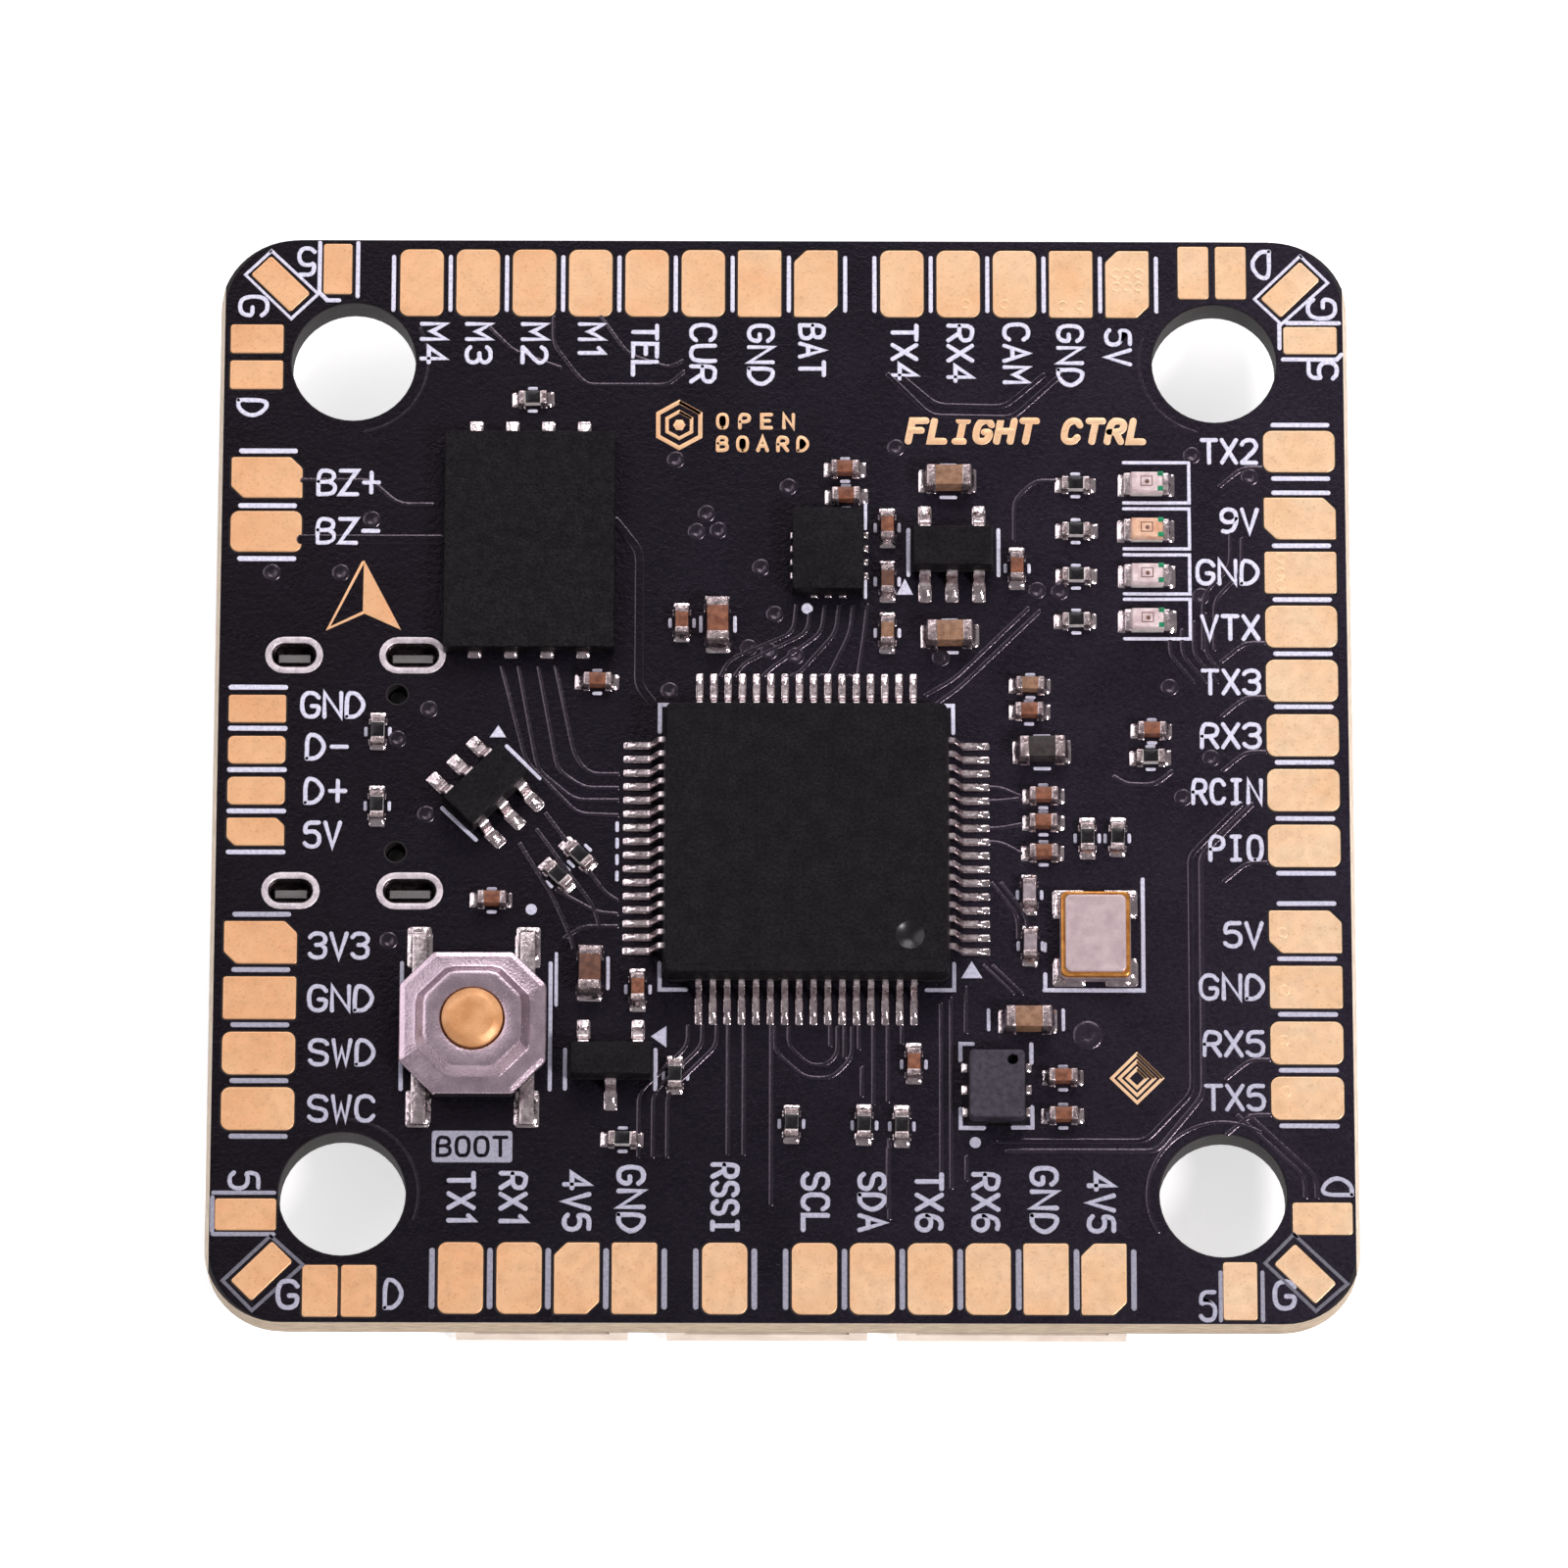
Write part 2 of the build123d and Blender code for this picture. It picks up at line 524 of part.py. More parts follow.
with BuildPart() as led_lenses:
    for x, y in LEDS:
        for z, wl, ww in ((0.24, LED_L - 0.44, LED_W - 0.02), (LED_H, LED_L - 0.62, LED_W - 0.10)):
            with BuildSketch(Plane.XY.offset(ZT + z)):
                with Locations((x, y)):
                    Rectangle(wl, ww)
        loft(ruled=True)
    with Locations(*spots(LED_SPOTS, ZT + 0.24)):
        Box(0.24, 0.20, 0.10, align=FOOT, mode=Mode.SUBTRACT)
led_lenses.part.label = "led_lenses"


# ------------------------------------------------------------- boot switch
def octagon(x, y, size, cut):
    h = size / 2
    with Locations((x, y)):
        Polygon((-h + cut, -h), (h - cut, -h), (h, -h + cut), (h, h - cut),
                (h - cut, h), (-h + cut, h), (-h, h - cut), (-h, -h + cut),
                align=None)


SW_CUT = 1.18
SW_BASE_H = 0.72
with BuildPart() as boot_switch_base:
    with BuildSketch(Plane.XY.offset(ZT + 0.02)):
        octagon(SW_X, SW_Y, SW_BODY - 0.20, SW_CUT - 0.06)
    extrude(amount=SW_BASE_H - 0.02)
    with BuildSketch(Plane.XY.offset(ZT + 0.22)):
        with Locations((SW_X, SW_Y)):
            Circle(1.62)
    extrude(amount=SW_BASE_H, mode=Mode.SUBTRACT)
    for sx in (-1, 1):
        for sy in (-1, 1):
            with Locations((SW_X + sx * 1.88, SW_Y + sy * 1.75, ZT)):
                Box(0.62, 1.55, 0.24, align=FOOT, mode=Mode.SUBTRACT)
boot_switch_base.part.label = "boot_switch_base"

SW_PLATE_Z0, SW_PLATE_Z1 = ZT + SW_BASE_H, ZT + 0.95
SW_BOSS_Z1 = ZT + 1.45
with BuildPart() as boot_switch_cover:
    with BuildSketch(Plane.XY.offset(SW_PLATE_Z0)):
        octagon(SW_X, SW_Y, SW_BODY, SW_CUT)
    extrude(amount=SW_PLATE_Z1 - SW_PLATE_Z0)
    with BuildSketch(Plane.XY.offset(SW_PLATE_Z1)):
        octagon(SW_X, SW_Y, 3.94, 1.08)
    with BuildSketch(Plane.XY.offset(SW_BOSS_Z1)):
        octagon(SW_X, SW_Y, 3.36, 0.90)
    loft(ruled=True)
    with BuildSketch(Plane.XY.offset(SW_PLATE_Z0)):
        with Locations((SW_X, SW_Y)):
            Circle(1.52)
    extrude(amount=ZT + 1.07 - SW_PLATE_Z0, mode=Mode.SUBTRACT)
    with BuildSketch(Plane.XY.offset(SW_PLATE_Z0)):
        with Locations((SW_X, SW_Y)):
            Circle(SW_BORE_R)
    extrude(amount=1.0, mode=Mode.SUBTRACT)
boot_switch_cover.part.label = "boot_switch_cover"

SW_TOP_Z = ZT + 1.72
SW_SKIRT_Z0 = ZT + 0.80
with BuildPart() as boot_switch_plunger:
    with BuildSketch(Plane.XY.offset(SW_SKIRT_Z0)):
        with Locations((SW_X, SW_Y)):
            Circle(SW_PLUNGER_R)
    extrude(amount=SW_TOP_Z - SW_SKIRT_Z0)
    fillet(boot_switch_plunger.faces().sort_by(Axis.Z)[-1].edges(), 0.14)
    with BuildSketch(Plane.XY.offset(SW_SKIRT_Z0)):
        with Locations((SW_X, SW_Y)):
            Circle(1.36)
    extrude(amount=0.20)
    with BuildSketch(Plane.XY.offset(SW_SKIRT_Z0 - 0.14)):
        with Locations((SW_X, SW_Y)):
            Circle(0.40)
    extrude(amount=0.14)
boot_switch_plunger.part.label = "boot_switch_plunger"

# snap dome: a shallow cap of sheet steel that inverts under the plunger
DOME_R, DOME_T, DOME_RISE = 1.50, 0.06, 0.40
DOME_Z = ZT + 0.22
with BuildPart() as boot_switch_dome:
    with BuildSketch(Plane(origin=(SW_X, SW_Y, DOME_Z), x_dir=(1, 0, 0), z_dir=(0, -1, 0))):
        with BuildLine():
            Polyline((0, DOME_RISE), (0.55, DOME_RISE - 0.02), (1.10, DOME_RISE - 0.15),
                     (DOME_R, DOME_T), (DOME_R, 0), (DOME_R - 0.10, 0),
                     (1.06, DOME_RISE - 0.22), (0.52, DOME_RISE - 0.09),
                     (0, DOME_RISE - 0.07), (0, DOME_RISE))
        make_face()
    revolve(axis=Axis((SW_X, SW_Y, 0), (0, 0, 1)))
boot_switch_dome.part.label = "boot_switch_dome"

with BuildPart() as boot_switch_terminals:
    for sy in (-1, 1):
        with Locations((SW_X - 1.88, SW_Y + sy * 2.25, ZT), (SW_X + 1.88, SW_Y + sy * 2.25, ZT)):
            Box(0.54, 2.46, 0.18, align=FOOT)
boot_switch_terminals.part.label = "boot_switch_terminals"


# ------------------------------------------- USB type C, on the lower face
def racetrack(w, h):
    """Rounded socket outline on a plane that faces along X."""
    with Locations((0, -USB_H / 2)):
        RectangleRounded(w, h, h / 2 - 0.32)


USB_FRONT = Plane(origin=(USB_MOUTH_X, 0, 0), x_dir=(0, 1, 0), z_dir=(1, 0, 0))
with BuildPart() as usb_shell:
    with BuildSketch(USB_FRONT):
        racetrack(USB_W, USB_H)
        racetrack(USB_W - 2 * USB_WALL, USB_H - 2 * USB_WALL)
    extrude(amount=USB_LEN)
    with BuildSketch(USB_FRONT):
        racetrack(USB_W - 2 * USB_WALL, USB_H - 2 * USB_WALL)
    extrude(amount=USB_LEN, mode=Mode.SUBTRACT)
    for tx, tw in ((USB_TABS_X[0], 1.10), (USB_TABS_X[1], 1.40)):
        with Locations((tx, USB_TAB_Y, -1.20), (tx, -USB_TAB_Y, -1.20)):
            Box(tw, 0.28, 2.15, align=FOOT)
    with Locations((USB_MOUTH_X + 2.6, 2.4, -USB_H - 0.1), (USB_MOUTH_X + 2.6, -2.4, -USB_H - 0.1)):
        Box(1.9, 0.55, 0.5, align=FOOT, mode=Mode.SUBTRACT)
    with BuildSketch(Plane.XY.offset(-0.50)):
        with Locations((USB_PEGS[0], USB_PEGS[1]), (USB_PEGS[0], -USB_PEGS[1])):
            Circle(0.30)
    extrude(amount=0.60, mode=Mode.SUBTRACT)
usb_shell.part.label = "usb_shell"

with BuildPart() as usb_housing:
    with BuildSketch(Plane(origin=(USB_MOUTH_X + 5.0, 0, 0), x_dir=(0, 1, 0), z_dir=(1, 0, 0))):
        racetrack(USB_W - 2 * USB_WALL, USB_H - 2 * USB_WALL)
    extrude(amount=USB_LEN - 5.0)
    with BuildSketch(Plane.XY.offset(-0.60)):
        with Locations((USB_PEGS[0], USB_PEGS[1]), (USB_PEGS[0], -USB_PEGS[1])):
            Circle(0.28)
    extrude(amount=1.35)
usb_housing.part.label = "usb_housing"

TONGUE_X0, TONGUE_X1 = USB_MOUTH_X + 0.85, USB_MOUTH_X + 5.0
TONGUE_T = 0.62
with BuildPart() as usb_tongue:
    with BuildSketch(Plane.XY.offset(-USB_H / 2 - TONGUE_T / 2)):
        with Locations(((TONGUE_X0 + TONGUE_X1) / 2, 0)):
            RectangleRounded(TONGUE_X1 - TONGUE_X0, 6.69, 0.30)
        with Locations((TONGUE_X1 - 0.5, 0)):
            Rectangle(1.0, 6.69)
    extrude(amount=TONGUE_T)
    with Locations((TONGUE_X1 - 0.55, 0, -USB_H / 2)):
        Box(1.1, 7.0, 1.5)
usb_tongue.part.label = "usb_tongue"

USB_ROW = [(i - 5.5) * 0.50 for i in range(12)]
with BuildPart() as usb_contacts:
    for z in (-USB_H / 2 + TONGUE_T / 2, -USB_H / 2 - TONGUE_T / 2 - 0.04):
        with Locations(*[(TONGUE_X0 + 0.45, y, z) for y in USB_ROW]):
            Box(2.40, 0.26, 0.04, align=(Align.MIN, Align.CENTER, Align.MIN))
    with Locations(*[(USB_MOUTH_X + USB_LEN, y, 0.0) for y in USB_ROW]):
        Box(0.80, 0.26, 0.15, align=(Align.MIN, Align.CENTER, Align.MAX))
usb_contacts.part.label = "usb_contacts"


# -------------------------- side-entry wire sockets on the lower face
def socket_shell(ways, cx):
    w = ways - 1 + 3.0
    yf = SOCKET_FACE_Y
    with Locations((cx, yf, 0.0)):
        Box(w, SOCKET_DEPTH, SOCKET_H, align=(Align.CENTER, Align.MIN, Align.MAX))
    # plug cavity
    with Locations((cx, yf, -0.60)):
        Box(w - 1.30, 3.10, 1.45, align=(Align.CENTER, Align.MIN, Align.MAX), mode=Mode.SUBTRACT)
    # latch windows in the outer wall, set back from the mouth
    with Locations((cx - (w - 2.0) / 2, yf + 0.90, -SOCKET_H + 1.00), (cx + (w - 2.0) / 2, yf + 0.90, -SOCKET_H + 1.00)):
        Box(0.70, 1.60, 1.4, align=(Align.CENTER, Align.MIN, Align.MAX), mode=Mode.SUBTRACT)
    # pockets for the anchor tabs
    with Locations((cx - w / 2 + 0.12, yf + 0.75, 0.01), (cx + w / 2 - 0.12, yf + 0.75, 0.01)):
        Box(0.26, 1.80, 2.05, align=(Align.CENTER, Align.MIN, Align.MAX), mode=Mode.SUBTRACT)
    # contact slots through the rear wall, and relief above the tails
    for k in range(ways):
        x = cx + (k - (ways - 1) / 2) * 1.0
        with Locations((x, yf + SOCKET_DEPTH + 0.01, -1.35)):
            Box(0.32, 1.30, 0.32, align=(Align.CENTER, Align.MAX, Align.CENTER), mode=Mode.SUBTRACT)
        with Locations((x, yf + SOCKET_DEPTH + 0.01, 0.01)):
            Box(0.36, 0.32, 1.50, align=(Align.CENTER, Align.MAX, Align.MAX), mode=Mode.SUBTRACT)


with BuildPart() as connector_4pin_housing:
    socket_shell(*SOCKETS[0])
connector_4pin_housing.part.label = "connector_4pin_housing"

with BuildPart() as connector_5pin_housing:
    socket_shell(*SOCKETS[1])
connector_5pin_housing.part.label = "connector_5pin_housing"

with BuildPart() as connector_6pin_housing:
    socket_shell(*SOCKETS[2])
connector_6pin_housing.part.label = "connector_6pin_housing"

# one bent contact: blade in the cavity, riser behind the wall, tail on the board
CT_BACK = SOCKET_FACE_Y + SOCKET_DEPTH
with BuildPart() as socket_contact:
    with BuildSketch(Plane.YZ.offset(-0.12)):
        with BuildLine():
            Polyline((CT_BACK - 3.55, -1.25), (CT_BACK - 0.06, -1.25), (CT_BACK - 0.06, -0.20),
                     (CT_BACK + 0.10, 0.0), (CT_BACK + 0.85, 0.0), (CT_BACK + 0.85, -0.16),
                     (CT_BACK + 0.18, -0.16), (CT_BACK + 0.12, -0.24), (CT_BACK + 0.12, -1.45),
                     (CT_BACK - 3.45, -1.45), (CT_BACK - 3.55, -1.40), (CT_BACK - 3.55, -1.25))
        make_face()
    extrude(amount=0.24)

with BuildPart() as connector_contacts:
    spots_x = [cx + (k - (n - 1) / 2) for n, cx in SOCKETS for k in range(n)]
    with Locations(*[(x, 0, 0) for x in spots_x]):
        add(socket_contact.part)
connector_contacts.part.label = "connector_contacts"

with BuildPart() as connector_anchor_tabs:
    for n, cx in SOCKETS:
        w = n - 1 + 3.0
        for s in (-1, 1):
            with Locations((cx + s * (w / 2 - 0.125), SOCKET_FACE_Y + 0.80, 0)):
                Box(0.22, 1.70, 1.90, align=(Align.CENTER, Align.MIN, Align.MAX))
            with Locations((cx + s * (w / 2 - 0.015), SOCKET_FACE_Y + 0.80, 0)):
                Box(0.44, 1.70, 0.18, align=(Align.MIN if s > 0 else Align.MAX, Align.MIN, Align.MAX))
connector_anchor_tabs.part.label = "connector_anchor_tabs"

# ---------------------------------- power and video parts, lower face
OS_X, OS_Y, OS_W, OS_L, OS_H = 8.6, 3.2, 4.40, 9.70, 1.00
osd_block = moulded(OS_X, OS_Y, OS_W, OS_L, -1.10, -0.55, -0.08, 0.14)
with BuildPart() as osd_package:
    add(osd_block)
osd_package.part.label = "osd_package"

with BuildPart() as osd_lead:
    with BuildSketch(Plane.XZ.offset(-0.11)):
        with BuildLine():
            Polyline(*gull(1.00, 0.50, 0.55, 0.13))
        make_face()
    extrude(amount=0.22)

with BuildPart() as osd_leads:
    rows = [(i - 6.5) * 0.65 for i in range(14)]
    # the lead is turned over so that its foot meets the lower face
    with Locations(*[Location((OS_X + OS_W / 2, OS_Y + r, 0), (180, 0, 0)) for r in rows],
                   *[Location((OS_X - OS_W / 2, OS_Y + r, 0), (180, 0, 180)) for r in rows]):
        add(osd_lead.part)
osd_leads.part.label = "osd_leads"

INDUCTORS = [(-8.2, 9.6), (1.2, 9.6)]
with BuildPart() as buck_inductor_cores:
    with BuildSketch(Plane.XY.offset(-2.00)):
        with Locations(*INDUCTORS):
            RectangleRounded(4.00, 4.00, 0.45)
    extrude(amount=1.92)
    with BuildSketch(Plane.XY.offset(-0.30)):
        for ix, iy in INDUCTORS:
            with Locations((ix - 1.50, iy), (ix + 1.50, iy)):
                Rectangle(1.02, 3.30)
    extrude(amount=0.30, mode=Mode.SUBTRACT)
buck_inductor_cores.part.label = "buck_inductor_cores"

with BuildPart() as buck_inductor_terminals:
    for ix, iy in INDUCTORS:
        with Locations((ix - 1.52, iy, 0), (ix + 1.52, iy, 0)):
            Box(0.96, 3.20, 0.28, align=HANG)
buck_inductor_terminals.part.label = "buck_inductor_terminals"

BUCKS = [(-8.2, 4.9), (1.2, 4.9)]
buck_blocks = [moulded(bx, by, 2.90, 1.60, -1.10, -0.55, -0.05, 0.16) for bx, by in BUCKS]
with BuildPart() as buck_regulator_packages:
    add(buck_blocks)
buck_regulator_packages.part.label = "buck_regulator_packages"

with BuildPart() as buck_regulator_leads:
    places = []
    for bx, by in BUCKS:
        for k in (-0.95, 0.0, 0.95):
            places.append(Location((bx + k, by + 0.80, 0), (180, 0, -90)))
            places.append(Location((bx + k, by - 0.80, 0), (180, 0, 90)))
    with Locations(*places):
        add(sot_narrow_lead.part)
buck_regulator_leads.part.label = "buck_regulator_leads"

POWER_CAPS = [(-12.6, 9.6, 90), (-4.0, 9.6, 90), (5.0, 9.9, 90), (-12.6, 5.6, 90), (-4.0, 5.6, 90)]
with BuildPart() as power_capacitor_bodies:
    chip_bodies(POWER_CAPS, C0805, 0.0, up=False)
power_capacitor_bodies.part.label = "power_capacitor_bodies"

with BuildPart() as power_capacitor_terminals:
    chip_caps(POWER_CAPS, C0805, 0.0, up=False)
power_capacitor_terminals.part.label = "power_capacitor_terminals"

NODES = (
    pcb_laminate, solder_mask_top, solder_mask_bottom, solder_pads, usb_slot_plating,
    mcu_package, mcu_leads, flash_package, flash_terminals, imu_package, imu_terminals,
    barometer_base, barometer_lid, crystal_base, crystal_seam_ring, crystal_lid,
    regulator_package, regulator_leads, usb_esd_package, usb_esd_leads,
    transistor_package, transistor_leads, capacitor_0402_bodies,
    capacitor_0402_terminals, capacitor_0603_bodies, capacitor_0603_terminals,
    load_capacitor_bodies, load_capacitor_terminals, ferrite_bead_body,
    ferrite_bead_terminals, resistor_substrates, resistor_coatings, resistor_terminals,
    led_bases, led_lenses, led_terminals, led_dies, boot_switch_base,
    boot_switch_cover, boot_switch_plunger, boot_switch_dome, boot_switch_terminals,
    usb_shell, usb_tongue, usb_contacts, usb_housing, connector_4pin_housing,
    connector_5pin_housing, connector_6pin_housing, connector_contacts,
    connector_anchor_tabs, osd_package, osd_leads, buck_inductor_cores,
    buck_inductor_terminals, buck_regulator_packages, buck_regulator_leads,
    power_capacitor_bodies, power_capacitor_terminals,
)
for node in NODES:
    export_step(node.part, "parts/" + node.part.label + ".step")
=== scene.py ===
import math

import bmesh
import bpy
import numpy as np
from mathutils import Matrix, Vector


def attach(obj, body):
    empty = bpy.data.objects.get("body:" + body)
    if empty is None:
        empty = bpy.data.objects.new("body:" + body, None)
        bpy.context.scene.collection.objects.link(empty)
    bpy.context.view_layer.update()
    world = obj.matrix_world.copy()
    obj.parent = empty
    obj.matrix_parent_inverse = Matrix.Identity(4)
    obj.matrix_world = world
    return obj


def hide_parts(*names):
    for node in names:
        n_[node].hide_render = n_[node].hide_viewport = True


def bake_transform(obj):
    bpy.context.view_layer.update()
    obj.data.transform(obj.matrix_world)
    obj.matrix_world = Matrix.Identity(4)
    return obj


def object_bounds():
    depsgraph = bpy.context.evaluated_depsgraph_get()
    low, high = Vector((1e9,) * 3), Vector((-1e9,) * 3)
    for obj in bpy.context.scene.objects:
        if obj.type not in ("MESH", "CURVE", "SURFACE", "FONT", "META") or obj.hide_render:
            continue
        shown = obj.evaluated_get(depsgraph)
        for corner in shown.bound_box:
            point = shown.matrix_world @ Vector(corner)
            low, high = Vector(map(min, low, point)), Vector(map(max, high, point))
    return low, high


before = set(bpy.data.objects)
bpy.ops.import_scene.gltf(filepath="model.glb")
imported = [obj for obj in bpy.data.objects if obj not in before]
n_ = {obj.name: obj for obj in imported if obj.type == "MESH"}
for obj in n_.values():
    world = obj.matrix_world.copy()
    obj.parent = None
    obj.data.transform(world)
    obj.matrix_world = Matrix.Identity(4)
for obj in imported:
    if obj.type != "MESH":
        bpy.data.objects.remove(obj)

START = [list(v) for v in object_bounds()]
MM = 0.001
ZT = 1.40
rng = np.random.default_rng(7)

# ===================================================================== materials


def new_material(name):
    m = bpy.data.materials.new(name)
    m.use_nodes = True
    nt = m.node_tree
    return m, nt, nt.nodes["Principled BSDF"]


def link(nt, a, b):
    nt.links.new(a, b)


def coords(nt, scale=1000.0, stretch=(1, 1, 1)):
    """Object coordinates in millimetres."""
    tc = nt.nodes.new("ShaderNodeTexCoord")
    mp = nt.nodes.new("ShaderNodeMapping")
    mp.inputs["Scale"].default_value = (scale * stretch[0], scale * stretch[1], scale * stretch[2])
    link(nt, tc.outputs["Object"], mp.inputs["Vector"])
    return mp.outputs["Vector"]


def noise(nt, vec, scale, detail=3.0, rough=0.55):
    n = nt.nodes.new("ShaderNodeTexNoise")
    n.inputs["Scale"].default_value = scale
    n.inputs["Detail"].default_value = detail
    n.inputs["Roughness"].default_value = rough
    link(nt, vec, n.inputs["Vector"])
    return n.outputs["Fac"]


def ramp(nt, fac, stops):
    r = nt.nodes.new("ShaderNodeValToRGB")
    e = r.color_ramp.elements
    e[0].position, e[0].color = stops[0][0], (*stops[0][1], 1)
    e[1].position, e[1].color = stops[-1][0], (*stops[-1][1], 1)
    for p, c in stops[1:-1]:
        x = e.new(p)
        x.color = (*c, 1)
    link(nt, fac, r.inputs["Fac"])
    return r.outputs["Color"]


def rerange(nt, fac, lo, hi, a=0.3, b=0.7):
    r = nt.nodes.new("ShaderNodeMapRange")
    r.inputs["From Min"].default_value = a
    r.inputs["From Max"].default_value = b
    r.inputs["To Min"].default_value = lo
    r.inputs["To Max"].default_value = hi
    link(nt, fac, r.inputs["Value"])
    return r.outputs["Result"]


def math_node(nt, op, a, b=None, clamp=False):
    n = nt.nodes.new("ShaderNodeMath")
    n.operation = op
    n.use_clamp = clamp
    for i, v in enumerate((a, b)):
        if v is None:
            continue
        if isinstance(v, (int, float)):
            n.inputs[i].default_value = v
        else:
            link(nt, v, n.inputs[i])
    return n.outputs[0]


def across(nt, axis, lo, hi):
    """0 to 1 along one axis of the board, between lo and hi in millimetres."""
    tc = nt.nodes.new("ShaderNodeTexCoord")
    sep = nt.nodes.new("ShaderNodeSeparateXYZ")
    link(nt, tc.outputs["Object"], sep.inputs[0])
    return rerange(nt, sep.outputs[axis], 0.0, 1.0, lo * MM, hi * MM)


def mix_color(nt, fac, a, b, mode="MIX"):
    n = nt.nodes.new("ShaderNodeMix")
    n.data_type = "RGBA"
    n.blend_type = mode
    for k, v in ((0, fac), (6, a), (7, b)):
        if isinstance(v, (int, float)):
            n.inputs[k].default_value = v
        elif isinstance(v, (tuple, list)):
            n.inputs[k].default_value = (*v, 1)
        else:
            link(nt, v, n.inputs[k])
    return n.outputs[2]


def bump(nt, p, height, strength, dist):
    b = nt.nodes.new("ShaderNodeBump")
    b.inputs["Strength"].default_value = strength
    b.inputs["Distance"].default_value = dist
    link(nt, height, b.inputs["Height"])
    link(nt, b.outputs["Normal"], p.inputs["Normal"])


def srgb(r, g, b):
    def f(c):
        c /= 255.0
        return c / 12.92 if c <= 0.04045 else ((c + 0.055) / 1.055) ** 2.4
    return (f(r), f(g), f(b))


def surface(name, dark, light, scale, rough=(0.35, 0.5), metal=0.0, bumps=(0.0, 0.0),
            detail=3.0, spec=0.5, fine=None, coat=0.0, stretch=(1, 1, 1), contrast=(0.35, 0.65)):
    """A material whose colour, roughness and relief vary with two scales of grain."""
    m, nt, p = new_material(name)
    v = coords(nt, stretch=stretch)
    big = noise(nt, v, scale, detail)
    col = ramp(nt, big, [(contrast[0], dark), (contrast[1], light)])
    if fine:
        small = noise(nt, v, fine[0], 2.0)
        tint = ramp(nt, small, [(0.35, (1 - fine[1],) * 3), (0.65, (1 + 0 * fine[1],) * 3)])
        col = mix_color(nt, 1.0, col, tint, "MULTIPLY")
    link(nt, col, p.inputs["Base Color"])
    link(nt, rerange(nt, noise(nt, v, scale * 1.7, 2.0), rough[0], rough[1]), p.inputs["Roughness"])
    p.inputs["Metallic"].default_value = metal
    p.inputs["Specular IOR Level"].default_value = spec
    if coat:
        p.inputs["Coat Weight"].default_value = coat
        p.inputs["Coat Roughness"].default_value = 0.2
    if bumps[1]:
        bump(nt, p, noise(nt, v, bumps[0], 3.0), 1.0, bumps[1] * MM)
    return m


MAT = {}


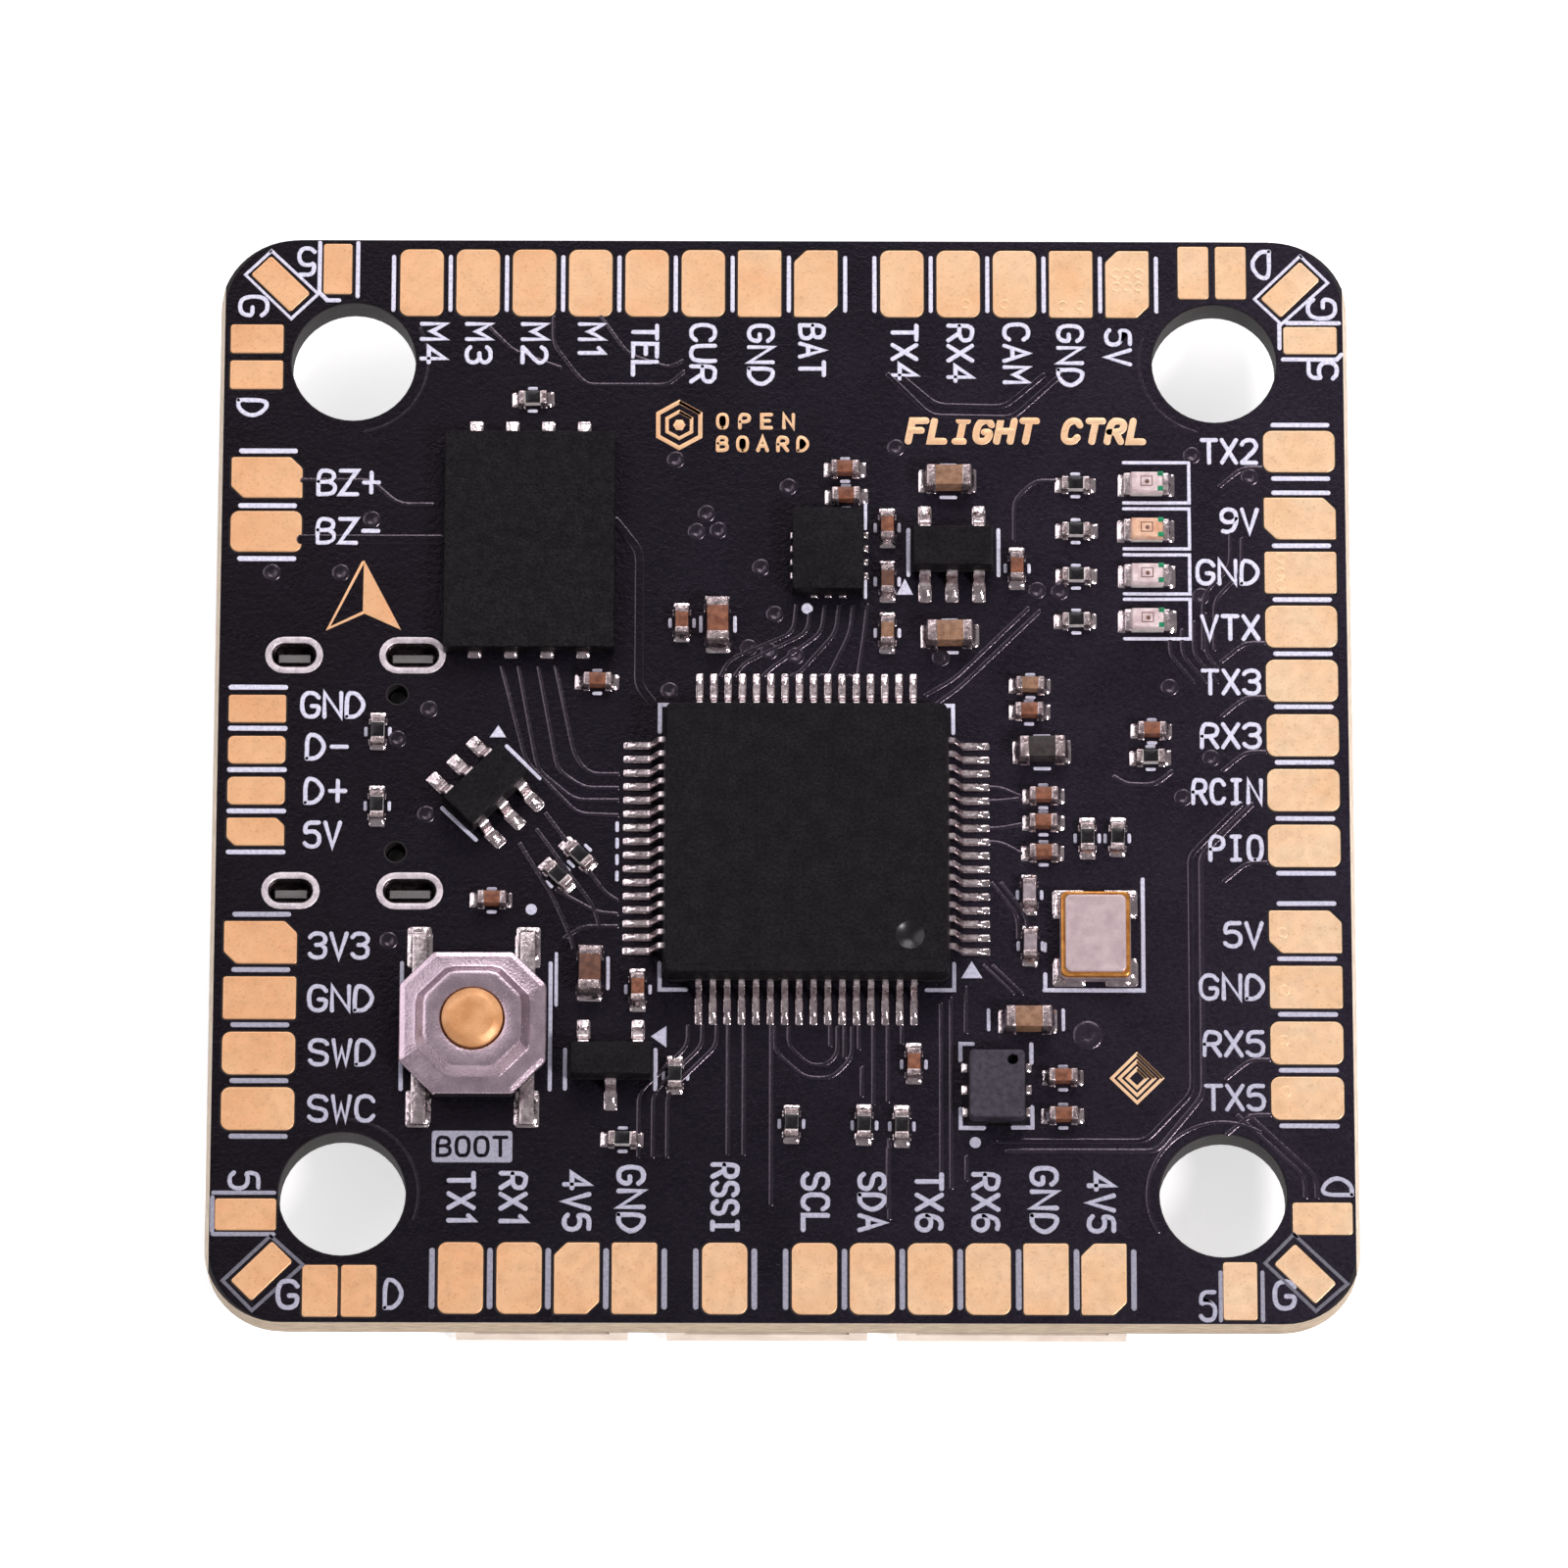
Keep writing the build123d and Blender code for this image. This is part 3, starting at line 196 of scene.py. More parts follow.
def build_materials():
    # lacquer over copper: near black, a touch of violet, orange-peel relief; painted light makes it dark at the left
    # and brighter at the right
    for key, spec, r0, r1, relief in (("lacquer", 0.17, 0.28, 0.42, 0.034), ("track_lacquer", 0.85, 0.18, 0.28, 0.012)):
        m, nt, p = new_material(key)
        v = coords(nt)
        col = ramp(nt, noise(nt, v, 0.35, 4.0), [(0.3, srgb(28, 24, 35)), (0.7, srgb(41, 37, 49))])
        weave = noise(nt, v, 7.0, 3.0, 0.7)
        col = mix_color(nt, 1.0, col, ramp(nt, weave, [(0.3, (0.42, 0.42, 0.45)), (0.62, (1.0, 1.0, 1.0))]), "MULTIPLY")
        # painted light: the colour ramps from dark at the left edge to full at the right edge, standing in for the
        # lamp's sheen from the right
        col = mix_color(nt, 1.0, col, ramp(nt, across(nt, 0, -20, 20), [(0.0, (0.17, 0.17, 0.19)), (0.5, (0.38, 0.38, 0.41)), (1.0, (1.0, 1.0, 1.0))]), "MULTIPLY")
        link(nt, col, p.inputs["Base Color"])
        link(nt, rerange(nt, noise(nt, v, 1.1, 3.0), r0, r1), p.inputs["Roughness"])
        p.inputs["Specular IOR Level"].default_value = spec
        p.inputs["Specular Tint"].default_value = (1.0, 0.82, 1.0, 1)
        h = math_node(nt, "ADD", noise(nt, v, 6.0, 2.0), math_node(nt, "MULTIPLY", noise(nt, v, 16.0, 2.0), 0.6))
        bump(nt, p, h, 1.0, relief * MM)
        MAT[key] = m

    # immersion gold pads, painted lighter towards the right as painted light
    m, nt, p = new_material("pad_gold")
    v = coords(nt)
    # painted light: the pad colour blends from the darker left tones to the lighter right tones along x
    col = mix_color(nt, across(nt, 0, -19, 19),
                    ramp(nt, noise(nt, v, 0.5, 4.0), [(0.3, srgb(244, 184, 134)), (0.7, srgb(251, 200, 152))]),
                    ramp(nt, noise(nt, v, 0.5, 4.0), [(0.3, srgb(252, 206, 160)), (0.7, srgb(255, 224, 186))]))
    spots = noise(nt, v, 9.0, 3.0, 0.75)
    col = mix_color(nt, 1.0, col, ramp(nt, spots, [(0.30, (0.82, 0.76, 0.70)), (0.46, (1, 1, 1))]), "MULTIPLY")
    link(nt, col, p.inputs["Base Color"])
    link(nt, rerange(nt, noise(nt, v, 2.2, 3.0), 0.42, 0.55), p.inputs["Roughness"])
    p.inputs["Metallic"].default_value = 0.62
    bump(nt, p, noise(nt, v, 12.0, 3.0), 0.6, 0.008 * MM)
    MAT["gold"] = m

    # silkscreen ink: lavender white, mottled; painted shade darkens it towards the front edge, and the two darker
    # copies are painted shade too
    for key, k in (("ink", 1.0), ("ink_shaded", 0.72), ("ink_deep_shaded", 0.34)):
        m, nt, p = new_material(key)
        v = coords(nt)
        tones = [(0.30, srgb(196, 197, 218)), (0.55, srgb(230, 229, 247)), (0.75, srgb(243, 242, 252))]
        col = ramp(nt, noise(nt, v, 9.0, 3.0, 0.6), [(q, tuple(c * k for c in t)) for q, t in tones])
        # painted shade: the ink colour falls off towards the front (low y) edge of the board
        painted_front_shade = ramp(nt, across(nt, 1, -20, 20), [(0.0, (0.54, 0.54, 0.56)), (0.20, (0.63, 0.63, 0.65)), (0.35, (0.74, 0.74, 0.76)),
                                                 (0.50, (0.90, 0.90, 0.91)), (0.65, (1.0, 1.0, 1.0))])
        col = mix_color(nt, 1.0, col, painted_front_shade, "MULTIPLY")
        link(nt, col, p.inputs["Base Color"])
        link(nt, rerange(nt, noise(nt, v, 12.0, 2.0), 0.5, 0.72), p.inputs["Roughness"])
        bump(nt, p, noise(nt, v, 22.0, 3.0), 0.6, 0.006 * MM)
        MAT[key] = m

    # laminate: tan resin and glass at the sawn edge, painted paler at the left and right edges as painted light; near
    # black inside the drilled holes, partly the rough drilled wall and mostly painted shade
    m, nt, p = new_material("laminate")
    tc = nt.nodes.new("ShaderNodeTexCoord")
    sep = nt.nodes.new("ShaderNodeSeparateXYZ")
    link(nt, tc.outputs["Object"], sep.inputs[0])
    dx = math_node(nt, "SUBTRACT", math_node(nt, "ABSOLUTE", sep.outputs[0]), 15.25 * MM)
    dy = math_node(nt, "SUBTRACT", math_node(nt, "ABSOLUTE", sep.outputs[1]), 15.25 * MM)
    r = math_node(nt, "SQRT", math_node(nt, "ADD", math_node(nt, "MULTIPLY", dx, dx), math_node(nt, "MULTIPLY", dy, dy)))
    inside = math_node(nt, "LESS_THAN", r, 2.6 * MM)
    ex = math_node(nt, "ADD", sep.outputs[0], 13.55 * MM)
    ey = math_node(nt, "SUBTRACT", math_node(nt, "ABSOLUTE", sep.outputs[1]), 2.89 * MM)
    peg = math_node(nt, "SQRT", math_node(nt, "ADD", math_node(nt, "MULTIPLY", ex, ex), math_node(nt, "MULTIPLY", ey, ey)))
    peg = math_node(nt, "LESS_THAN", peg, 0.75 * MM)
    zz = math_node(nt, "ABSOLUTE", math_node(nt, "SUBTRACT", sep.outputs[2], 0.70 * MM))
    face = math_node(nt, "MAXIMUM", math_node(nt, "GREATER_THAN", zz, 0.652 * MM), peg)
    v = coords(nt, stretch=(0.35, 0.35, 3.2))
    fibres = noise(nt, v, 5.0, 4.0, 0.6)
    edge = ramp(nt, fibres, [(0.30, srgb(128, 108, 84)), (0.50, srgb(170, 150, 124)), (0.70, srgb(196, 178, 152))])
    # painted shade: the hole walls get a near-black colour
    hole = ramp(nt, fibres, [(0.30, srgb(12, 9, 10)), (0.70, srgb(42, 34, 32))])
    # painted light: beyond |x| = 19.8 mm the sawn edge takes a paler tan, standing in for the lamp lighting the side
    # edges
    lit_edge_mask = math_node(nt, "GREATER_THAN", math_node(nt, "ABSOLUTE", sep.outputs[0]), 19.80 * MM)
    lit_edge_tan = ramp(nt, fibres, [(0.30, srgb(176, 158, 136)), (0.70, srgb(232, 216, 196))])
    col = mix_color(nt, lit_edge_mask, edge, lit_edge_tan)
    col = mix_color(nt, inside, col, hole)
    col = mix_color(nt, face, col, ramp(nt, fibres, [(0.30, srgb(20, 16, 20)), (0.70, srgb(34, 28, 32))]))
    link(nt, col, p.inputs["Base Color"])
    link(nt, rerange(nt, fibres, 0.55, 0.8), p.inputs["Roughness"])
    bump(nt, p, fibres, 0.8, 0.02 * MM)
    MAT["laminate"] = m

    MAT["solder"] = surface("solder", srgb(204, 188, 192), srgb(244, 232, 232), 2.4, (0.10, 0.24), 1.0, (5.0, 0.040))
    MAT["tin"] = surface("tin", srgb(202, 186, 189), srgb(247, 233, 234), 3.5, (0.22, 0.38), 1.0, (7.0, 0.022), fine=(12.0, 0.12))
    MAT["slot_tin"] = surface("slot_tin", srgb(206, 194, 200), srgb(238, 228, 232), 3.0, (0.42, 0.60), 0.55, (10.0, 0.014), fine=(12.0, 0.14))
    MAT["moulding"] = surface("moulding", srgb(22, 20, 23), srgb(32, 29, 33), 1.6, (0.38, 0.54), 0.0, (12.0, 0.028), spec=0.12, fine=(9.0, 0.70))
    MAT["moulding_warm"] = surface("moulding_warm", srgb(18, 16, 19), srgb(32, 29, 32), 2.6, (0.32, 0.58), 0.0, (10.0, 0.046), spec=0.13, fine=(9.0, 0.80))
    MAT["slate"] = surface("slate", srgb(48, 43, 56), srgb(72, 66, 80), 5.0, (0.45, 0.62), 0.25, (26.0, 0.012), fine=(24.0, 0.30))
    MAT["dimple"] = surface("dimple", srgb(20, 18, 21), srgb(28, 26, 29), 2.0, (0.24, 0.32), 0.0, (10.0, 0.003), spec=0.42)
    MAT["brown"] = surface("brown_ceramic", srgb(106, 60, 40), srgb(150, 94, 68), 4.0, (0.36, 0.52), 0.0, (22.0, 0.006), fine=(20.0, 0.22))
    MAT["tan"] = surface("tan_ceramic", srgb(128, 92, 68), srgb(168, 128, 100), 4.0, (0.38, 0.54), 0.0, (22.0, 0.006), fine=(20.0, 0.22))
    MAT["dark_brown"] = surface("dark_brown_ceramic", srgb(84, 52, 40), srgb(118, 78, 60), 4.0, (0.38, 0.54), 0.0, (22.0, 0.006), fine=(20.0, 0.22))
    MAT["grey_ceramic"] = surface("grey_ceramic", srgb(140, 126, 132), srgb(172, 158, 164), 4.0, (0.36, 0.5), 0.1, (22.0, 0.006), fine=(20.0, 0.18))
    MAT["ferrite"] = surface("ferrite", srgb(40, 34, 34), srgb(66, 56, 54), 5.0, (0.4, 0.55), 0.1, (22.0, 0.008), fine=(24.0, 0.3))
    MAT["alumina"] = surface("alumina", srgb(206, 200, 198), srgb(232, 227, 224), 5.0, (0.5, 0.65), 0.0, (22.0, 0.006))
    MAT["resist"] = surface("overcoat", srgb(16, 14, 17), srgb(28, 26, 30), 5.0, (0.22, 0.34), 0.0, (10.0, 0.005), spec=0.4)
    MAT["cap_end"] = surface("cap_end", srgb(158, 141, 144), srgb(226, 208, 208), 4.5, (0.20, 0.36), 0.85, (8.0, 0.030), fine=(12.0, 0.18))
    MAT["steel"] = surface("switch_steel", srgb(202, 181, 193), srgb(221, 199, 211), 1.2, (0.24, 0.32), 0.9, (12.0, 0.010), fine=(14.0, 0.16))
    MAT["amber"] = surface("amber_button", srgb(216, 152, 98), srgb(238, 178, 124), 1.4, (0.34, 0.44), 0.25, (18.0, 0.006), fine=(18.0, 0.10))
    MAT["nylon_black"] = surface("black_nylon", srgb(26, 25, 27), srgb(44, 42, 45), 2.4, (0.45, 0.6), 0.0, (20.0, 0.012), fine=(20.0, 0.3))
    MAT["cream"] = surface("cream_nylon", srgb(206, 188, 172), srgb(226, 210, 194), 0.8, (0.42, 0.55), 0.0, (14.0, 0.006), fine=(9.0, 0.05))
    MAT["nickel"] = surface("nickel_steel", srgb(176, 172, 170), srgb(204, 200, 198), 0.9, (0.22, 0.34), 1.0, (18.0, 0.003), stretch=(0.25, 1.6, 1.0))
    MAT["contact"] = surface("contact_gold", srgb(222, 170, 96), srgb(242, 198, 126), 3.0, (0.22, 0.34), 1.0, (18.0, 0.003))
    MAT["ring"] = surface("seam_gold", srgb(204, 132, 62), srgb(238, 168, 92), 3.2, (0.30, 0.44), 0.85, (16.0, 0.008), fine=(18.0, 0.16))
    MAT["lid"] = surface("crystal_lid_metal", srgb(196, 176, 180), srgb(216, 196, 198), 2.0, (0.42, 0.52), 0.55, (26.0, 0.006), fine=(24.0, 0.10))
    MAT["led_white"] = surface("led_base_white", srgb(196, 190, 184), srgb(226, 220, 214), 4.0, (0.45, 0.6), 0.0, (14.0, 0.006))
    MAT["led_green"] = surface("led_mark_green", srgb(6, 110, 70), srgb(16, 146, 98), 6.0, (0.35, 0.5), 0.0, (14.0, 0.004))
    MAT["led_spot"] = surface("led_spot", srgb(96, 66, 60), srgb(140, 104, 92), 9.0, (0.3, 0.5), 0.0, (14.0, 0.004))
    # painted shade: a dark metal for the slot barrel and its solder, standing in for the shade inside the slots
    MAT["throat_painted_shade"] = surface("slot_throat", srgb(54, 46, 48), srgb(96, 84, 86), 4.0, (0.20, 0.36), 0.9, (8.0, 0.03))
    MAT["iron"] = surface("pressed_iron", srgb(58, 58, 62), srgb(86, 85, 90), 3.0, (0.5, 0.65), 0.3, (12.0, 0.014), fine=(12.0, 0.25))
    MAT["die"] = surface("die", srgb(180, 170, 90), srgb(214, 206, 130), 6.0, (0.3, 0.4), 0.2, (14.0, 0.003))
    # painted shade: near-black colour for the inside of the barometer vent hole
    MAT["vent_painted_shade"] = surface("vent_painted_shade", srgb(6, 5, 7), srgb(12, 11, 14), 5.0, (0.6, 0.8), 0.0, (14.0, 0.004), spec=0.2)
    for nm, c0, c1 in (("lens_pink", srgb(206, 182, 184), srgb(238, 220, 220)), ("lens_orange", srgb(216, 160, 128), srgb(240, 200, 172))):
        m = surface(nm, c0, c1, 3.0, (0.16, 0.30), 0.0, (9.0, 0.004), spec=0.6)
        p = m.node_tree.nodes["Principled BSDF"]
        p.inputs["Subsurface Weight"].default_value = 0.25
        p.inputs["Subsurface Radius"].default_value = (0.0004, 0.0003, 0.0003)
        p.inputs["Subsurface Scale"].default_value = 1.0
        MAT[nm] = m


build_materials()

# ===================================================================== mesh tools


class Shape:
    """Collects closed shapes in millimetres and makes one object of them."""

    def __init__(self):
        self.v, self.f, self.m = [], [], []

    def add(self, verts, faces, mat=0):
        n = len(self.v)
        self.v += [tuple(map(float, p)) for p in verts]
        self.f += [tuple(i + n for i in f) for f in faces]
        self.m += [mat] * len(faces)

    def loops(self, loops, cap0=True, cap1=True, mat=0, fan=False):
        """Skins a stack of closed loops that all have the same number of points."""
        n = len(loops[0])
        verts = [p for lp in loops for p in lp]
        faces = []
        for k in range(len(loops) - 1):
            a, b = k * n, (k + 1) * n
            for i in range(n):
                j = (i + 1) % n
                faces.append((a + i, a + j, b + j, b + i))
        last = (len(loops) - 1) * n
        if fan:
            for on, base, lp in ((cap0, 0, loops[0]), (cap1, last, loops[-1])):
                if on:
                    verts.append(tuple(sum(p[k] for p in lp) / n for k in range(3)))
                    c = len(verts) - 1
                    faces += [(base + i, base + (i + 1) % n, c) for i in range(n)]
        else:
            if cap0:
                faces.append(tuple(range(n))[::-1])
            if cap1:
                faces.append(tuple(range(last, last + n)))
        self.add(verts, faces, mat)

    def make(self, name, mats, body="board", replaces=(), slot=None, smooth=35.0):
        me = bpy.data.meshes.new(name)
        me.from_pydata([(x * MM, y * MM, z * MM) for x, y, z in self.v], [], self.f)
        for m in mats:
            me.materials.append(MAT[m])
        me.polygons.foreach_set("material_index", self.m)
        me.update()
        bm = bmesh.new()
        bm.from_mesh(me)
        bmesh.ops.remove_doubles(bm, verts=bm.verts, dist=2e-7)
        bmesh.ops.dissolve_degenerate(bm, dist=1e-8, edges=bm.edges)
        bmesh.ops.recalc_face_normals(bm, faces=bm.faces)
        big = [f for f in bm.faces if len(f.verts) > 4]
        if big:
            bmesh.ops.triangulate(bm, faces=big)
        lim = math.radians(smooth)
        for f in bm.faces:
            f.smooth = True
        area = {f: f.calc_area() for f in bm.faces}
        for e in bm.edges:
            if len(e.link_faces) == 2:
                t = e.calc_face_angle(0.0)
                a, b = (area[f] for f in e.link_faces)
                # a broad flat meets its rounded rim at a hard normal, so the flat stays flat
                e.smooth = t < lim and not (t > 0.03 and max(a, b) > 10 * min(a, b) and max(a, b) > 2e-8)
        bm.to_mesh(me)
        bm.free()
        o = bpy.data.objects.new(name, me)
        bpy.context.scene.collection.objects.link(o)
        if body:
            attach(o, body)
        if replaces:
            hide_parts(*replaces)
        return o


def turn(pts, x, y, deg):
    c, s = math.cos(math.radians(deg)), math.sin(math.radians(deg))
    return [(x + p[0] * c - p[1] * s, y + p[0] * s + p[1] * c, *p[2:]) for p in pts]


def inset(poly, d):
    """Moves every side of a counter-clockwise outline inwards by d."""
    n = len(poly)
    out = []
    for i in range(n):
        a, b, c = poly[i - 1], poly[i], poly[(i + 1) % n]
        e1 = (b[0] - a[0], b[1] - a[1])
        e2 = (c[0] - b[0], c[1] - b[1])
        l1, l2 = math.hypot(*e1) or 1e-9, math.hypot(*e2) or 1e-9
        n1, n2 = (-e1[1] / l1, e1[0] / l1), (-e2[1] / l2, e2[0] / l2)
        q = 1 + n1[0] * n2[0] + n1[1] * n2[1]
        q = max(q, 0.3)
        out.append((b[0] + d * (n1[0] + n2[0]) / q, b[1] + d * (n1[1] + n2[1]) / q))
    if d <= 0:
        return out
    # sides shorter than the offset vanish: their ends meet where the longer neighbours meet
    def back(i):
        p, q = poly[i], poly[(i + 1) % n]
        u, v = out[i], out[(i + 1) % n]
        return (q[0] - p[0]) * (v[0] - u[0]) + (q[1] - p[1]) * (v[1] - u[1]) <= 0
    rev = [back(i) for i in range(n)]
    if not any(rev) or all(rev):
        return out
    res = list(out)
    start = next(i for i in range(n) if not rev[i])
    i = start
    while i < start + n:
        if not rev[i % n]:
            i += 1
            continue
        j = i
        while rev[j % n]:
            j += 1
        a0, a1 = out[(i - 1) % n], out[i % n]
        b0, b1 = out[j % n], out[(j + 1) % n]
        rx, ry, sx, sy = a1[0] - a0[0], a1[1] - a0[1], b1[0] - b0[0], b1[1] - b0[1]
        den = rx * sy - ry * sx
        if abs(den) > 1e-12:
            t = ((b0[0] - a0[0]) * sy - (b0[1] - a0[1]) * sx) / den
            hit = (a0[0] + t * rx, a0[1] + t * ry)
        else:
            hit = ((a1[0] + b0[0]) / 2, (a1[1] + b0[1]) / 2)
        for k in range(i, j + 1):
            res[k % n] = hit
        i = j
    return res


def rounded(w, l, r, seg=5):
    """Rounded rectangle about the origin, counter-clockwise."""
    r = min(r, w / 2 - 1e-4, l / 2 - 1e-4)
    pts = []
    for cx, cy, a0 in ((w / 2 - r, -l / 2 + r, -90), (w / 2 - r, l / 2 - r, 0), (-w / 2 + r, l / 2 - r, 90), (-w / 2 + r, -l / 2 + r, 180)):
        for k in range(seg + 1):
            a = math.radians(a0 + 90 * k / seg)
            pts.append((cx + r * math.cos(a), cy + r * math.sin(a)))
    return pts


def soften_poly(pts, r, seg=3):
    """Rounds every corner of a counter-clockwise polygon."""
    out = []
    n = len(pts)
    for i in range(n):
        a, b, c = Vector(pts[i - 1]), Vector(pts[i]), Vector(pts[(i + 1) % n])
        d = min(r, (a - b).length * 0.45, (c - b).length * 0.45)
        p0, p2 = b + (a - b).normalized() * d, b + (c - b).normalized() * d
        for k in range(seg + 1):
            t = k / seg
            q = p0 * (1 - t) ** 2 + b * 2 * t * (1 - t) + p2 * t ** 2
            out.append((q.x, q.y))
    return out


def rounding(r, seg=3):
    """(inset, drop) pairs of a quarter round, from the side wall to the top."""
    return [(r * (1 - math.cos(math.pi / 2 * k / seg)), r * (1 - math.sin(math.pi / 2 * k / seg))) for k in range(seg + 1)]


def slab(sh, outline, x, y, deg, z0, z1, r=0.03, seg=3, mat=0, low_r=0.0):
    """A plate with rounded top edges, standing on z0."""
    loops = []
    if low_r:
        for d, h in reversed(rounding(low_r, 2)):
            loops.append([(px, py, z0 + h) for px, py in turn(inset(outline, d), x, y, deg)])
    else:
        loops.append([(px, py, z0) for px, py in turn(outline, x, y, deg)])
    for d, h in rounding(r, seg):
        loops.append([(px, py, z1 - h) for px, py in turn(inset(outline, d), x, y, deg)])
    sh.loops(loops, mat=mat, fan=True)


def ribbon(sh, pts, w, z, h, flank=0.02, caps=True, mat=0, closed=False, jitter=0.0):
    """A low raised line along a path, with round ends."""
    sh.count = (getattr(sh, "count", 0) + 1) % 9
    h = h + 0.0005 * sh.count
    P = [Vector((p[0], p[1])) for p in pts]
    keep = [P[0]]
    for p in P[1:]:
        if (p - keep[-1]).length > 1e-5:
            keep.append(p)
    P = keep
    if len(P) < 2:
        return
    n = len(P)
    left, right = [], []
    for i in range(n):
        d1 = (P[i] - P[i - 1]).normalized() if i > 0 else (P[1] - P[0]).normalized()
        d2 = (P[i + 1] - P[i]).normalized() if i < n - 1 else d1
        nrm = Vector((-(d1 + d2).y, (d1 + d2).x))
        nrm = nrm.normalized() if nrm.length > 1e-6 else Vector((-d1.y, d1.x))
        k = max(0.45, nrm.dot(Vector((-d1.y, d1.x))))
        left.append((P[i], nrm / k))
        right.append((P[i], -nrm / k))
    d0, dn = (P[1] - P[0]).normalized(), (P[-1] - P[-2]).normalized()
    def side(off):
        out = []
        for p, q in right:
            out.append(p + q * off)
        if caps:
            for k in range(1, 6):
                a = -math.pi / 2 + math.pi * k / 6
                out.append(P[-1] + (dn * math.cos(a) + Vector((-dn.y, dn.x)) * math.sin(a)) * off)
        for p, q in reversed(left):
            out.append(p + q * off)
        if caps:
            for k in range(1, 6):
                a = math.pi / 2 + math.pi * k / 6
                out.append(P[0] + (d0 * math.cos(a) + Vector((-d0.y, d0.x)) * math.sin(a)) * off)
        return out
    o, i_ = side(w / 2), side(w / 2 - flank)
    if jitter:
        j = rng.normal(0, jitter, (len(o), 2))
        o = [p + Vector(q) for p, q in zip(o, j)]
        i_ = [p + Vector(q) * 0.9 for p, q in zip(i_, j)]
    sh.loops([[(p.x, p.y, z - 0.002) for p in o], [(p.x, p.y, z + h * 0.45) for p in o],
              [(p.x, p.y, z + h) for p in i_]], mat=mat)


def mound(sh, x, y, deg, u0, u1, w, h0, z=ZT, nu=7, nv=8, power=2.0, base=0.012, mat=0, side=4.0, tip=0.0):
    """A solder fillet: highest at u0, against the part, thinning out to u1."""
    verts, faces = [], []
    for i in range(nu + 1):
        t = i / nu
        for j in range(nv + 1):
            s = 2 * j / nv - 1
            half = w / 2 * (1.0 - tip * t ** 3)
            hh = base + h0 * (1 - t) ** power * (1 - abs(s) ** side)
            edge = 1.0 if 0 < j < nv and i < nu else 0.0
            verts.append((u0 + (u1 - u0) * t, s * half, z + hh * edge if edge else z - 0.003))
    for i in range(nu):
        for j in range(nv):
            a = i * (nv + 1) + j
            faces.append((a, a + nv + 1, a + nv + 2, a + 1))
    n = len(verts)
    # close the back wall and the underside
    back = [j for j in range(nv + 1)]
    verts += [(u0, (2 * j / nv - 1) * w / 2, z - 0.003) for j in range(nv + 1)]
    for j in range(nv):
        faces.append((back[j], back[j + 1], n + j + 1, n + j))
    ring = [n + j for j in range(nv + 1)]
    outer = [i * (nv + 1) + nv for i in range(1, nu + 1)] + [nu * (nv + 1) + j for j in range(nv - 1, -1, -1)] + [i * (nv + 1) for i in range(nu - 1, 0, -1)]
    faces.append(tuple(ring + outer))
    sh.add(turn([(p[0], p[1], p[2]) for p in verts], x, y, deg), faces, mat)


def ring_mesh(sh, x, y, radii, mat=0, seg=20, squash=1.0, deg=0.0):
    """Turned shape: radii is a list of (radius, height); the first and last close it."""
    loops = []
    for r, z in radii:
        loops.append([(px, py, z) for px, py in turn([(r * math.cos(2 * math.pi * k / seg), r * squash * math.sin(2 * math.pi * k / seg)) for k in range(seg)], x, y, deg)])
    sh.loops(loops, mat=mat, fan=True)


def densify(poly, step):
    out = []
    for i in range(len(poly)):
        a, b = poly[i], poly[(i + 1) % len(poly)]
        k = max(1, int(math.dist(a, b) / step))
        out += [(a[0] + (b[0] - a[0]) * j / k, a[1] + (b[1] - a[1]) * j / k) for j in range(k)]
    return out


def moulded(sh, x, y, deg, w, l, z0, zs, z1, draft, r=0.05, dimple=None, mat=0, dimple_mat=0, corner=0.08, flash=0.012):
    """Moulded package with a parting line, drafted walls and rounded arrises."""
    base = densify(rounded(w, l, corner, 3), 0.5)
    def lp(d, z):
        return [(px, py, z) for px, py in turn(inset(base, d), x, y, deg)]
    loops = [lp(draft * (zs - z0) + 0.03, z0), lp(draft * (zs - z0), z0 + 0.03), lp(0.012, zs - 0.02),
             lp(-flash, zs - 0.012), lp(-flash, zs + 0.012), lp(0.012, zs + 0.02)]
    top = draft * (z1 - zs)
    for d, h in rounding(r, 3):
        loops.append(lp(top * (1 - h / max(z1 - zs, 1e-6)) + d, z1 - h))
    if dimple is None:
        sh.loops(loops, mat=mat, fan=True)
        return
    dx, dy, dr, dz = dimple
    n = len(base)
    inner = inset(base, top + r)
    angs = [math.atan2(p[1] - dy, p[0] - dx) for p in inner]
    def circ(rad, z):
        return [(px, py, z) for px, py in turn([(dx + rad * math.cos(a), dy + rad * math.sin(a)) for a in angs], x, y, deg)]
    sh.loops(loops + [circ(dr + 0.05, z1), circ(dr, z1 - 0.012)], cap1=False, mat=mat, fan=True)
    sh.loops([circ(dr * f, z1 - 0.012 - (dz - 0.012) * (1 - f * f)) for f in (1.0, 0.88, 0.72, 0.54, 0.34, 0.14)], cap0=False, mat=dimple_mat, fan=True)


